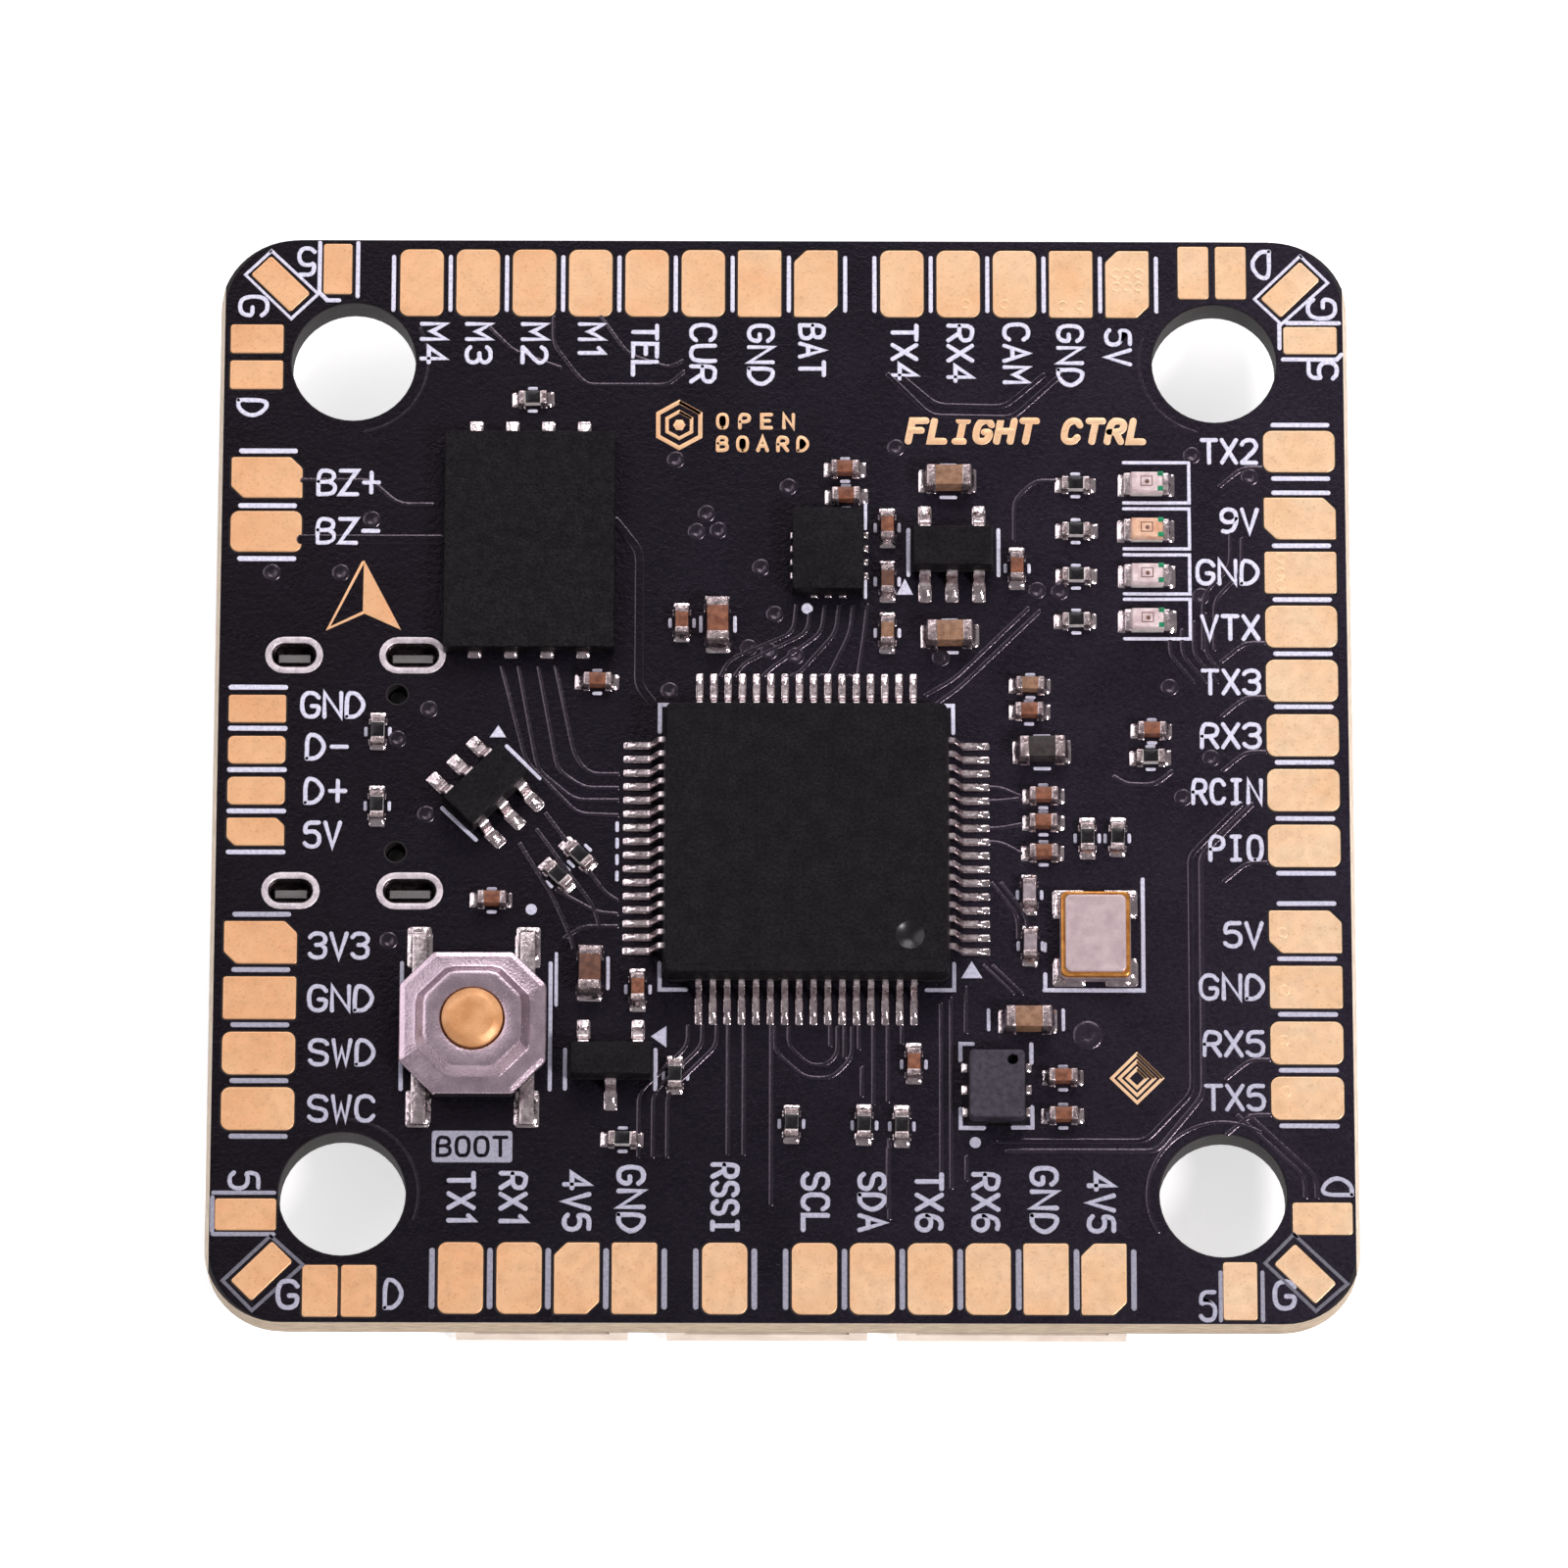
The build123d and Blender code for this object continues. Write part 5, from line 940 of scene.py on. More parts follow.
# outlines and reference marks beside the parts
path((-4.33, 1.5), (-4.33, 2.5), (-3.35, 2.5))
path((4.95, 2.5), (5.95, 2.5), (5.95, 1.5))
# this outline takes the darker ink copy: painted shade
path((-4.3, -6.93), (-4.3, -7.88), (-3.37, -7.88), mat=1)
path((5.0, -7.88), (5.95, -7.88), (5.95, -6.93), mat=1)
for i in range(4):
    line(-5.81 - 0.0, -1.83 - 0.6 * i, -5.81, -2.1 - 0.6 * i, 0.13)
path((-9.7, 0.97), (-8.53, -0.2))
path((-11.93, -1.3), (-10.75, -2.45))
line(2.88, 9.95, 2.88, 9.05, 0.12)
line(2.88, 7.1, 2.88, 6.5, 0.12)
line(4.4, 7.33, 4.4, 9.0)
line(7.57, 7.33, 7.57, 9.0)
line(-7.57, -10.07, -7.57, -11.47)
line(-4.43, -10.07, -4.43, -11.5)
line(-8.10, -6.95, -8.10, -11.5)
line(-13.27, -6.95, -13.27, -11.5)
path((12.55, -3.85), (12.55, -7.88), (9.1, -7.88))
line(9.13, -7.3, 9.13, -7.82)
path((6.6, -9.83), (6.17, -9.83), (6.17, -10.43))
line(8.63, -9.83, 8.63, -10.5)
path((6.17, -12.17), (6.17, -12.85), (6.97, -12.85))
path((8.65, -12.1), (8.65, -12.83), (7.97, -12.83))
line(-7.9, -6.6, -7.9, -8.45, 0.13)
line(-6.1, -6.75, -6.1, -7.85, 0.13)
line(7.15, -8.6, 7.15, -9.3, 0.13)
line(9.75, -8.6, 9.75, -9.3, 0.13)
line(9.13, -6.2, 9.13, -6.45, 0.13)
for a, b in ((11.53, 10.03), (9.81, 8.32), (8.1, 6.65), (6.45, 4.99)):
    path((12.0, a), (14.31, a), (14.31, b), (12.0, b), w=0.12)


def fill(poly, h=0.034, mat=0):
    ccw = poly if sum(a[0] * b[1] - b[0] * a[1] for a, b in zip(poly, poly[1:] + poly[:1])) > 0 else poly[::-1]
    ink.loops([[(p[0], p[1], ZT - 0.002) for p in ccw], [(p[0], p[1], ZT + h * 0.5) for p in ccw],
               [(p[0], p[1], ZT + h) for p in inset(ccw, 0.02)]], mat=mat)


def dot(x, y, r):
    fill([(x + r * math.cos(2 * math.pi * k / 20), y + r * math.sin(2 * math.pi * k / 20)) for k in range(20)])


fill([(6.57, -6.83), (6.2, -7.45), (6.95, -7.45)])
fill([(-10.3, 1.3), (-9.72, 1.3), (-10.0, 1.75)])
fill([(4.27, 7.2), (3.98, 6.6), (4.56, 6.6)])
fill([(-4.05, -9.2), (-4.6, -9.58), (-4.05, -9.98)])
dot(-8.79, -4.99, 0.2)
dot(6.67, -13.37, 0.2)
dot(0.83, 6.08, 0.2)

CAP_0402 = [
    (2.17, 11.23, 0), (2.20, 10.23, 0), (-6.54, 3.35, 0), (8.67, 3.23, 0),
    (8.62, 2.26, 0), (12.93, 1.58, 0), (-3.57, 5.53, 90), (3.65, 9.08, 90),
    (3.65, 7.08, 90), (3.65, 5.18, 90), (8.23, 7.58, 90), (9.10, -0.82, 0),
    (9.10, -1.80, 0), (9.10, -2.90, 0), (-10.17, -4.66, 0), (-5.05, -7.88, 90),
    (4.55, -10.57, 90), (9.73, -11.05, 0), (9.73, -12.42, 0)]
CAP_0603 = [(5.81, 10.82, 0), (5.85, 5.06, 0), (-2.31, 5.49, 90), (-6.72, -7.28, 90), (8.55, -9.02, 0)]
LOAD_CAPS = [(8.60, -4.42, 90), (8.62, -6.28, 90)]
FERRITE = [(9.07, 0.80, 0)]
RES_0402 = [
    (-8.89, 13.83, 0), (12.87, 0.60, 0), (-14.22, 1.50, 90), (-14.21, -1.23, 90),
    (10.30, 10.68, 0), (10.30, 8.97, 0), (10.30, 7.28, 0), (10.30, 5.62, 0),
    (-7.12, -3.03, -45), (-7.87, -3.77, -45), (-3.73, -11.00, 90),
    (-5.55, -13.30, 0), (0.30, -12.72, 90), (2.83, -12.77, 90),
    (4.13, -12.80, 90), (10.63, -2.35, 90), (11.68, -2.35, 90)]
LEDS = [(12.80, 10.68), (12.80, 8.97), (12.80, 7.28), (12.80, 5.62)]

for x, y, a in CAP_0402 + RES_0402 + LOAD_CAPS:
    for s in (-1, 1):
        ribbon(ink, turn([(-0.12, s * 0.42), (0.12, s * 0.42)], x, y, a), 0.12, ZT, 0.014, jitter=0.003)
for x, y, a in CAP_0603[:3] + FERRITE:
    for s in (-1, 1):
        ribbon(ink, turn([(-0.25, s * 0.6), (0.25, s * 0.6)], x, y, a), 0.12, ZT, 0.014, jitter=0.003)

box = soften_poly([(-12.17, -14.13), (-9.37, -14.13), (-9.37, -12.99), (-12.17, -12.99)], 0.12)
# the filled box takes the darker ink copy: painted shade
fill(box, mat=1)
ink.make("legend", ["ink", "ink_shaded", "ink_deep_shaded"], slot="solder_mask", smooth=40)

dark = Shape()
letters(dark, "BOOT", -12.03, -9.5, -13.56, 0.78, 0, 0.13, z=ZT + 0.030, h=0.010, jitter=0.002)
dark.make("boot_lettering", ["lacquer"], slot="solder_mask", smooth=40)

# ---- gilded marks: an arrow for the front, a title and plain geometric emblems
au = Shape()


def gild(poly, h=0.012):
    ccw = poly if sum(a[0] * b[1] - b[0] * a[1] for a, b in zip(poly, poly[1:] + poly[:1])) > 0 else poly[::-1]
    au.loops([[(p[0], p[1], ZT - 0.004) for p in ccw], [(p[0], p[1], ZT + 0.004) for p in ccw],
              [(p[0], p[1], ZT + h) for p in inset(ccw, 0.02)]])


gild([(-14.79, 7.85), (-14.81, 5.88), (-13.45, 5.25)])
ribbon(au, [(-14.83, 7.75), (-16.02, 5.3), (-14.81, 5.88)], 0.1, ZT, 0.012)
letters(au, "FLIGHT CTRL", 4.35, 12.9, 12.7, 1.02, 0, 0.25, shear=0.20, h=0.012, jitter=0.0, wide=0.66, flank=0.015)
letters(au, "OPEN", -2.4, 0.4, 13.05, 0.62, 0, 0.13, h=0.012, jitter=0.0)
letters(au, "BOARD", -2.4, 0.9, 12.2, 0.62, 0, 0.13, h=0.012, jitter=0.0)


def polygon(cx, cy, r, n, a0):
    return [(cx + r * math.cos(math.radians(a0 + 360 * k / n)), cy + r * math.sin(math.radians(a0 + 360 * k / n))) for k in range(n)]


for r, w in ((0.86, 0.15), (0.5, 0.12)):
    p = polygon(-3.7, 12.9, r, 6, 30)
    ribbon(au, p + [p[0], p[1]], w, ZT, 0.012, caps=False)
gild(polygon(-3.7, 12.9, 0.22, 6, 0))
for k in range(3):
    p = polygon(12.3, -11.05, 0.34 + 0.27 * k, 4, 0)
    ribbon(au, p + [p[0], p[1]], 0.11, ZT, 0.012, caps=False)
au.make("gilded_marks", ["gold"], slot="gold_pad", smooth=40)

# ===================================================================== small chips
sold = None          # every fillet, made below


def jig():
    return rng.normal(0, 1)


def chip(body, caps, x, y, a, dims, up=True, mat=0, r=0.035, film=None, solder=True, cap_r=0.06):
    """One two-terminal chip: fired block, dipped ends with soft edges, fillets."""
    L, W, H, E = dims
    a = a + jig() * 0.7
    x, y = x + jig() * 0.008, y + jig() * 0.008
    z = ZT if up else 0.0
    body.flip = caps.flip = sold.flip = not up
    slab(body, rounded(L - 0.10, W - 0.05, 0.03, 2), x, y, a, z + 0.025, z + H - 0.015, r=r, seg=2, mat=mat)
    for s in (-1, 1):
        e = E + abs(jig()) * 0.012
        cx = s * (L / 2 - e / 2)
        ux, uy = turn([(cx, 0)], x, y, a)[0]
        # wrap-round end: bulges a little at the middle of its outer face
        out = []
        for lp_in, zz in ((0.045, 0.0), (0.012, 0.03), (0.0, H * 0.3), (0.0, H * 0.7), (0.014, H - cap_r * 0.55), (0.035, H - cap_r * 0.18), (0.075, H)):
            o = inset(rounded(e, W, 0.05, 3), lp_in)
            bul = 0.016 * math.sin(math.pi * min(max(zz / H, 0), 1))
            o = [(px + (bul * s if px * s > 0 else 0.0), py) for px, py in o]
            out.append([(px, py, z + zz) for px, py in turn(o, ux, uy, a)])
        caps.loops(out, fan=True)
        if solder:
            k = 1 + 0.12 * jig()
            mound(sold, x, y, a + (0 if s > 0 else 180), L / 2 - 0.03, L / 2 + 0.24 + 0.03 * jig(), W + 0.06, H * 0.5 * k, z=z, power=2.2)
            for t in (-1, 1):
                mx, my = turn([(cx, t * (W / 2 - 0.015))], x, y, a)[0]
                mound(sold, mx, my, a + 90 * t, 0.0, 0.09, e * 0.95, H * 0.32 * k, z=z, nu=4, nv=5, power=2.0)
    if film:
        slab(film, rounded(L - 2 * E - 0.02, W - 0.06, 0.02, 2), x, y, a, z + H - 0.02, z + H + 0.008, r=0.012, seg=2)


class Flippable(Shape):
    flip = False

    def add(self, verts, faces, mat=0):
        if self.flip:
            verts = [(p[0], p[1], -p[2]) for p in verts]
        super().add(verts, faces, mat)


sold = Flippable()
b4, t4 = Flippable(), Flippable()
tints = [0, 0, 0, 1, 0, 0, 0, 0, 2, 1, 0, 0, 0, 0, 0, 0, 0, 0, 0]
for (x, y, a), c in zip(CAP_0402, tints):
    chip(b4, t4, x, y, a, (1.0, 0.5, 0.5, 0.24), mat=c)
b4.make("small_capacitor_blocks", ["brown", "tan", "dark_brown"], replaces=["capacitor_0402_bodies"], slot="brown_ceramic")
t4.make("small_capacitor_ends", ["cap_end"], replaces=["capacitor_0402_terminals"], slot="tinned_lead", smooth=50)
b6, t6 = Flippable(), Flippable()
for (x, y, a), c in zip(CAP_0603, (1, 1, 0, 2, 1)):
    chip(b6, t6, x, y, a, (1.6, 0.8, 0.8, 0.36), mat=c, r=0.05, cap_r=0.09)
b6.make("medium_capacitor_blocks", ["brown", "tan", "dark_brown"], replaces=["capacitor_0603_bodies"], slot="tan_ceramic")
t6.make("medium_capacitor_ends", ["cap_end"], replaces=["capacitor_0603_terminals"], slot="tinned_lead", smooth=50)
bl, tl = Flippable(), Flippable()
for x, y, a in LOAD_CAPS:
    chip(bl, tl, x, y, a, (1.0, 0.5, 0.5, 0.24))
bl.make("load_capacitor_blocks", ["grey_ceramic"], replaces=["load_capacitor_bodies"], slot="grey_ceramic")
tl.make("load_capacitor_ends", ["cap_end"], replaces=["load_capacitor_terminals"], slot="tinned_lead", smooth=50)
bf, tf = Flippable(), Flippable()
for x, y, a in FERRITE:
    chip(bf, tf, x, y, a, (1.6, 0.8, 0.8, 0.36), r=0.05, cap_r=0.09)
bf.make("ferrite_block", ["ferrite"], replaces=["ferrite_bead_body"], slot="ferrite")
tf.make("ferrite_ends", ["cap_end"], replaces=["ferrite_bead_terminals"], slot="tinned_lead", smooth=50)
br, trm, film = Flippable(), Flippable(), Flippable()
for x, y, a in RES_0402:
    chip(br, trm, x, y, a, (1.0, 0.5, 0.35, 0.23), film=film, r=0.012, cap_r=0.03)
br.make("resistor_plates", ["alumina"], replaces=["resistor_substrates"], slot="alumina")
trm.make("resistor_ends", ["cap_end"], replaces=["resistor_terminals"], slot="tinned_lead", smooth=50)
film.make("resistor_films", ["resist"], replaces=["resistor_coatings"], slot="resistor_coat")

# ---- status lamps
lb, ll, lt = Flippable(), Shape(), Flippable()
for i, (x, y) in enumerate(LEDS):
    lb.flip = False
    slab(lb, rounded(1.14, 0.8, 0.03, 2), x, y, 0, ZT + 0.02, ZT + 0.24, r=0.02, seg=2)
    for t in (-1, 1):
        slab(lb, rounded(0.20, 0.17, 0.02, 2), x + 0.49, y + 0.27 * t, 0, ZT + 0.50, ZT + 0.5495, r=0.008, seg=2, mat=1)
    ring_mesh(lb, x + 0.02, y - 0.02, [(0.085, ZT + 0.50), (0.08, ZT + 0.5495), (0.03, ZT + 0.5499)], mat=2, seg=12)
    m = 1 if i == 1 else 0
    o = rounded(1.16, 0.78, 0.04, 3)
    ll.loops([[(px, py, ZT + 0.24) for px, py in turn(o, x, y, 0)]] +
             [[(px, py, ZT + zz) for px, py in turn(inset(o, d), x, y, 0)] for d, zz in ((0.005, 0.30), (0.04, 0.49), (0.055, 0.520), (0.085, 0.538), (0.13, 0.541))], mat=m, fan=True)
    ribbon(lb, [(x - 0.20, y - 0.17), (x + 0.20, y - 0.17), (x + 0.20, y + 0.17), (x - 0.20, y + 0.17), (x - 0.20, y - 0.17), (x - 0.18, y - 0.17)], 0.035, ZT + 0.536, 0.010, flank=0.008, mat=2)
    for s in (-1, 1):
        slab(lt, rounded(0.25, 0.8, 0.04, 3), x + s * 0.675, y, 0, ZT, ZT + 0.24, r=0.03)
        mound(sold, x, y, 0 if s > 0 else 180, 0.78, 1.02 + 0.03 * jig(), 0.84, 0.16, power=2.0)
lb.make("lamp_bases", ["led_white", "led_green", "led_spot"], replaces=["led_bases"], slot="led_base")
ll.make("lamp_lenses", ["lens_pink", "lens_orange"], replaces=["led_lenses"], slot="led_lens", smooth=50)
lt.make("lamp_ends", ["tin"], replaces=["led_terminals"], slot="tinned_lead")

# ---- moulded parts
mcu = Shape()
MX, MY = 0.81, -2.75
moulded(mcu, MX, MY, 0, 10.0, 10.0, ZT + 0.10, ZT + 0.75, ZT + 1.50, 0.14, r=0.06, dimple=(3.60, -3.55, 0.50, 0.15), dimple_mat=1, corner=0.30)
ribbon(mcu, [(MX - 3.3 + 0.55 * math.cos(2 * math.pi * k / 28), MY + 3.7 + 0.55 * math.sin(2 * math.pi * k / 28)) for k in range(29)], 0.05, ZT + 1.498, 0.006, flank=0.015)
mcu.make("processor_body", ["moulding", "dimple"], replaces=["mcu_package"], slot="black_moulding", smooth=30)
ml = Shape()
for i in range(16):
    r = (i - 7.5) * 0.5
    for x, y, a in ((MX + 5, MY + r, 0), (MX - 5, MY + r, 180), (MX + r, MY + 5, 90), (MX + r, MY - 5, -90)):
        lead(ml, x, y, a, 1.0, 0.55, 0.75, 0.13, 0.22)
        slab(sold, rounded(1.00, 0.27, 0.06, 2), *turn([(0.92, 0)], x, y, a)[0], a, ZT - 0.002, ZT + 0.035, r=0.03, seg=2)
        mound(sold, x, y, a, 0.97, 1.30 + 0.025 * jig(), 0.26, 0.11 + 0.012 * jig(), z=ZT + 0.02, nu=6, nv=6, power=1.5, side=2.5)
        mound(sold, x, y, a + 180, -0.52, -0.36, 0.24, 0.10, z=ZT + 0.02, nu=3, nv=4, power=1.5, side=2.5)
ml.make("processor_leads", ["tin"], replaces=["mcu_leads"], slot="tinned_lead", smooth=40)

fl = Shape()
slab(fl, rounded(6.0, 8.0, 0.05, 2), -8.95, 8.40, 0, ZT + 0.02, ZT + 0.80, r=0.035, seg=3)
fl.make("flash_body", ["moulding_warm"], replaces=["flash_package"], slot="black_moulding")
for fx in (-1.905, -0.635, 0.635, 1.905):
    for s in (-1, 1):
        mound(sold, -8.95 + fx, 8.40, 90 * s, 3.98, 4.62 if s > 0 else 4.19, 0.48, 0.24 if s > 0 else 0.11, power=2.0)
im = Shape()
slab(im, rounded(2.5, 3.0, 0.05, 2), 1.57, 8.05, 0, ZT + 0.03, ZT + 0.91, r=0.03)
im.make("motion_sensor_body", ["moulding"], replaces=["imu_package"], slot="black_moulding")
for k in (-0.75, -0.25, 0.25, 0.75):
    for s in (0, 180):
        mound(sold, 1.57, 8.05 + k, s, 1.24, 1.42 if s == 0 else 1.33, 0.24, 0.07, power=2.0)
for k in (-0.5, 0.0, 0.5):
    for s in (90, -90):
        mound(sold, 1.57 + k, 8.05, s, 1.49, 1.57, 0.24, 0.05, power=2.0)

ba = Shape()
BX, BY = 7.42, -11.48
slab(ba, rounded(2.04, 2.54, 0.04, 2), BX, BY, 0, ZT, ZT + 0.26, r=0.02)
ba.make("barometer_carrier", ["moulding_warm"], replaces=["barometer_base"], slot="black_moulding")
bd = Shape()
o = densify(rounded(1.94, 2.44, 0.16, 5), 0.3)
loops = [[(BX + px, BY + py, ZT + 0.262) for px, py in o]]
for d, h in rounding(0.09, 5):
    loops.append([(BX + px, BY + py, ZT + 0.95 - h) for px, py in inset(o, d)])
ang = [math.atan2(p[1] - 0.86 * 0.98, p[0] - 0.55 * 0.98) for p in inset(o, 0.09)]
for rr, zz in ((0.215, 0.95), (0.195, 0.94), (0.19, 0.86)):
    loops.append([(BX + 0.55 + rr * math.cos(t), BY + 0.86 + rr * math.sin(t), ZT + zz) for t in ang])
bd.loops(loops, cap1=False)
# painted shade: the vent hole's wall and floor take the near-black colour
bd.loops([loops[-1], [(BX + 0.55 + 0.17 * math.cos(t), BY + 0.86 + 0.17 * math.sin(t), ZT + 0.60) for t in ang]], cap0=False, mat=1)
bd.make("barometer_cap", ["slate", "vent_painted_shade"], replaces=["barometer_lid"], slot="grey_moulding", smooth=50)
for k in (-0.8, 0.0, 0.8):
    for s in (0, 180):
        mound(sold, BX, BY + k, s, 1.01, 1.22, 0.34, 0.10, power=2.0)

xb, xr, xl = Shape(), Shape(), Shape()
XX, XY = 10.88, -6.00
slab(xb, rounded(2.46, 3.14, 0.18, 4), XX, XY, 0, ZT, ZT + 0.45, r=0.015, seg=2)
xb.make("crystal_carrier", ["grey_ceramic"], replaces=["crystal_base"], slot="crystal_ceramic")
slab(xr, rounded(2.42, 3.10, 0.22, 5), XX, XY, 0, ZT + 0.45, ZT + 0.65, r=0.06, seg=3)
xr.make("crystal_rim", ["ring"], replaces=["crystal_seam_ring"], slot="gold_ring", smooth=50)
o = rounded(2.12, 2.80, 0.20, 6)
xl.loops([[(XX + px, XY + py, ZT + 0.65) for px, py in o]] +
         [[(XX + px, XY + py, ZT + zz) for px, py in inset(o, d)] for d, zz in ((0.0, 0.70), (0.015, 0.735), (0.045, 0.75), (0.12, 0.745), (0.22, 0.738), (0.30, 0.737))], fan=True)
xl.make("crystal_cover", ["lid"], replaces=["crystal_lid"], slot="crystal_lid", smooth=60)
for sx in (-1, 1):
    for sy in (-1, 1):
        slab(sold, rounded(1.15, 0.95, 0.12, 3), XX + sx * 0.92, XY + sy * 1.28, 0, ZT - 0.002, ZT + 0.03, r=0.028, seg=2)
        mound(sold, XX, XY + sy * 1.1, 0 if sx > 0 else 180, 1.20, 1.45, 0.75, 0.16, z=ZT + 0.01, power=1.8)
        mound(sold, XX + sx * 0.8, XY, 90 * sy, 1.54, 1.75, 0.9, 0.16, z=ZT + 0.01, power=1.8)


def sot(shape, leads, x, y, a, w, l, h, tops, bots, z=ZT, up=True, draft=0.16):
    shape.flip = leads.flip = sold.flip = not up
    a = a if up else -a
    moulded(shape, x, y, a, w, l, z + 0.05, z + 0.55, z + h, draft, r=0.05, corner=0.08)
    for k, s in [(k, 1) for k in tops] + [(k, -1) for k in bots]:
        ux, uy = turn([(k, s * l / 2)], x, y, a)[0]
        lead(leads, ux, uy, a + 90 * s, 0.62, 0.32, 0.55, 0.13, 0.40, z=z)
        slab(sold, rounded(0.75, 0.48, 0.10, 3), *turn([(0.62, 0)], ux, uy, a + 90 * s)[0], a + 90 * s, z - 0.002, z + 0.03, r=0.028, seg=2)
        mound(sold, ux, uy, a + 90 * s, 0.58, 0.96 + 0.03 * jig(), 0.46, 0.15 + 0.02 * jig(), z=z + 0.015, power=1.6, side=2.5)
    sold.flip = False


rg, rl = Flippable(), Flippable()
sot(rg, rl, 5.93, 8.10, 0, 2.9, 1.6, 1.10, (-0.95, 0.95), (-0.95, 0, 0.95))
rg.make("regulator_body", ["moulding"], replaces=["regulator_package"], slot="black_moulding", smooth=30)
rl.make("regulator_pins", ["tin"], replaces=["regulator_leads"], slot="tinned_lead", smooth=40)
eg, el = Flippable(), Flippable()
sot(eg, el, -10.40, -0.72, 45, 2.9, 1.6, 1.10, (-0.95, 0, 0.95), (-0.95, 0, 0.95))
eg.make("protection_body", ["moulding"], replaces=["usb_esd_package"], slot="black_moulding", smooth=30)
el.make("protection_pins", ["tin"], replaces=["usb_esd_leads"], slot="tinned_lead", smooth=40)
tg, tlz = Flippable(), Flippable()
sot(tg, tlz, -5.98, -10.62, 0, 2.9, 1.3, 1.05, (-0.95, 0.95), (0,))
tg.make("transistor_body", ["moulding"], replaces=["transistor_package"], slot="black_moulding", smooth=30)
tlz.make("transistor_pins", ["tin"], replaces=["transistor_leads"], slot="tinned_lead", smooth=40)

# ---- boot switch
SX, SY = -10.77, -9.33


def octo(size, cut, r=0.0):
    h = size / 2
    p = [(-h + cut, -h), (h - cut, -h), (h, -h + cut), (h, h - cut), (h - cut, h), (-h + cut, h), (-h, h - cut), (-h, -h + cut)]
    return soften_poly(p, r, 3) if r else p


cv = Shape()
plate = densify(octo(5.10, 1.18, 0.10), 0.4)
pa = [math.atan2(p[1], p[0]) for p in plate]


def ray_to(poly, t):
    """Where the ray at angle t meets an outline round the origin."""
    dx, dy = math.cos(t), math.sin(t)
    best = 0.0
    for a, b in zip(poly, poly[1:] + poly[:1]):
        ex, ey = b[0] - a[0], b[1] - a[1]
        den = dx * ey - dy * ex
        if abs(den) < 1e-9:
            continue
        s = (a[0] * ey - a[1] * ex) / den
        q = (a[0] * dy - a[1] * dx) / den
        if s > 0 and -1e-6 <= q <= 1 + 1e-6:
            best = max(best, s)
    return (best * dx, best * dy)


def at(poly, z):
    return [(SX + p[0], SY + p[1], z) for p in (ray_to(poly, t) for t in pa)]


def circ(r, z):
    return [(SX + r * math.cos(t), SY + r * math.sin(t), z) for t in pa]


P0, P1, P2 = ZT + 0.72, ZT + 0.95, ZT + 1.45
cv.loops([circ(1.52, P0 + 0.001), [(SX + p[0], SY + p[1], P0) for p in inset(plate, 0.02)], [(SX + p[0], SY + p[1], P0 + 0.03) for p in plate],
          [(SX + p[0], SY + p[1], P1 - 0.10) for p in plate], [(SX + p[0], SY + p[1], P1 - 0.06) for p in inset(plate, 0.03)],
          [(SX + p[0], SY + p[1], P1 - 0.012) for p in inset(plate, 0.17)], [(SX + p[0], SY + p[1], P1) for p in inset(plate, 0.22)],
          at(octo(4.12, 1.13, 0.15), P1), at(octo(4.00, 1.10, 0.15), P1 + 0.025), at(octo(3.90, 1.07, 0.15), P1 + 0.08), at(octo(3.48, 0.95, 0.18), P2 - 0.075),
          at(octo(3.40, 0.92, 0.18), P2 - 0.025), at(octo(3.28, 0.89, 0.2), P2 - 0.004), at(octo(3.16, 0.86, 0.2), P2), circ(1.20, P2), circ(1.14, P2 - 0.02), circ(1.12, P2 - 0.06),
          circ(1.12, P2 - 0.38), circ(1.52, P2 - 0.38), circ(1.52, P0 + 0.001)], cap0=False, cap1=False)
cv.make("switch_cover", ["steel"], replaces=["boot_switch_cover"], slot="switch_steel", smooth=25)
pg = Shape()
ring_mesh(pg, SX, SY, [(0.38, ZT + 0.66), (0.40, ZT + 0.68), (0.40, ZT + 0.80), (1.34, ZT + 0.80), (1.36, ZT + 0.82), (1.36, ZT + 0.98), (1.34, ZT + 1.0), (1.06, ZT + 1.0),
                       (1.06, ZT + 1.52), (1.05, ZT + 1.555), (1.01, ZT + 1.59), (0.80, ZT + 1.70), (0.74, ZT + 1.72), (0.5, ZT + 1.717)], seg=56)
pg.make("switch_button", ["amber"], body="boot_button", replaces=["boot_switch_plunger"], slot="switch_button", smooth=40)
# snap dome under the button: one fixed shape, baked in place without a body
dm = Shape()
DOME = [(0.05, 0.62), (0.30, 0.615), (0.55, 0.60), (0.84, 0.543), (1.10, 0.47), (1.31, 0.375), (1.48, 0.29), (1.50, 0.275), (1.50, 0.23), (1.49, 0.22),
        (1.40, 0.22), (1.24, 0.31), (1.06, 0.40), (0.80, 0.472), (0.52, 0.53), (0.28, 0.546), (0.05, 0.55)]
dm.loops([[(SX + r * math.cos(2 * math.pi * k / 48), SY + r * math.sin(2 * math.pi * k / 48), ZT + z) for k in range(48)] for r, z in DOME], fan=True)
dome = dm.make("switch_dome", ["nickel"], body=None, replaces=["boot_switch_dome"], slot="spring_steel", smooth=50)
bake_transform(dome)
st = Shape()
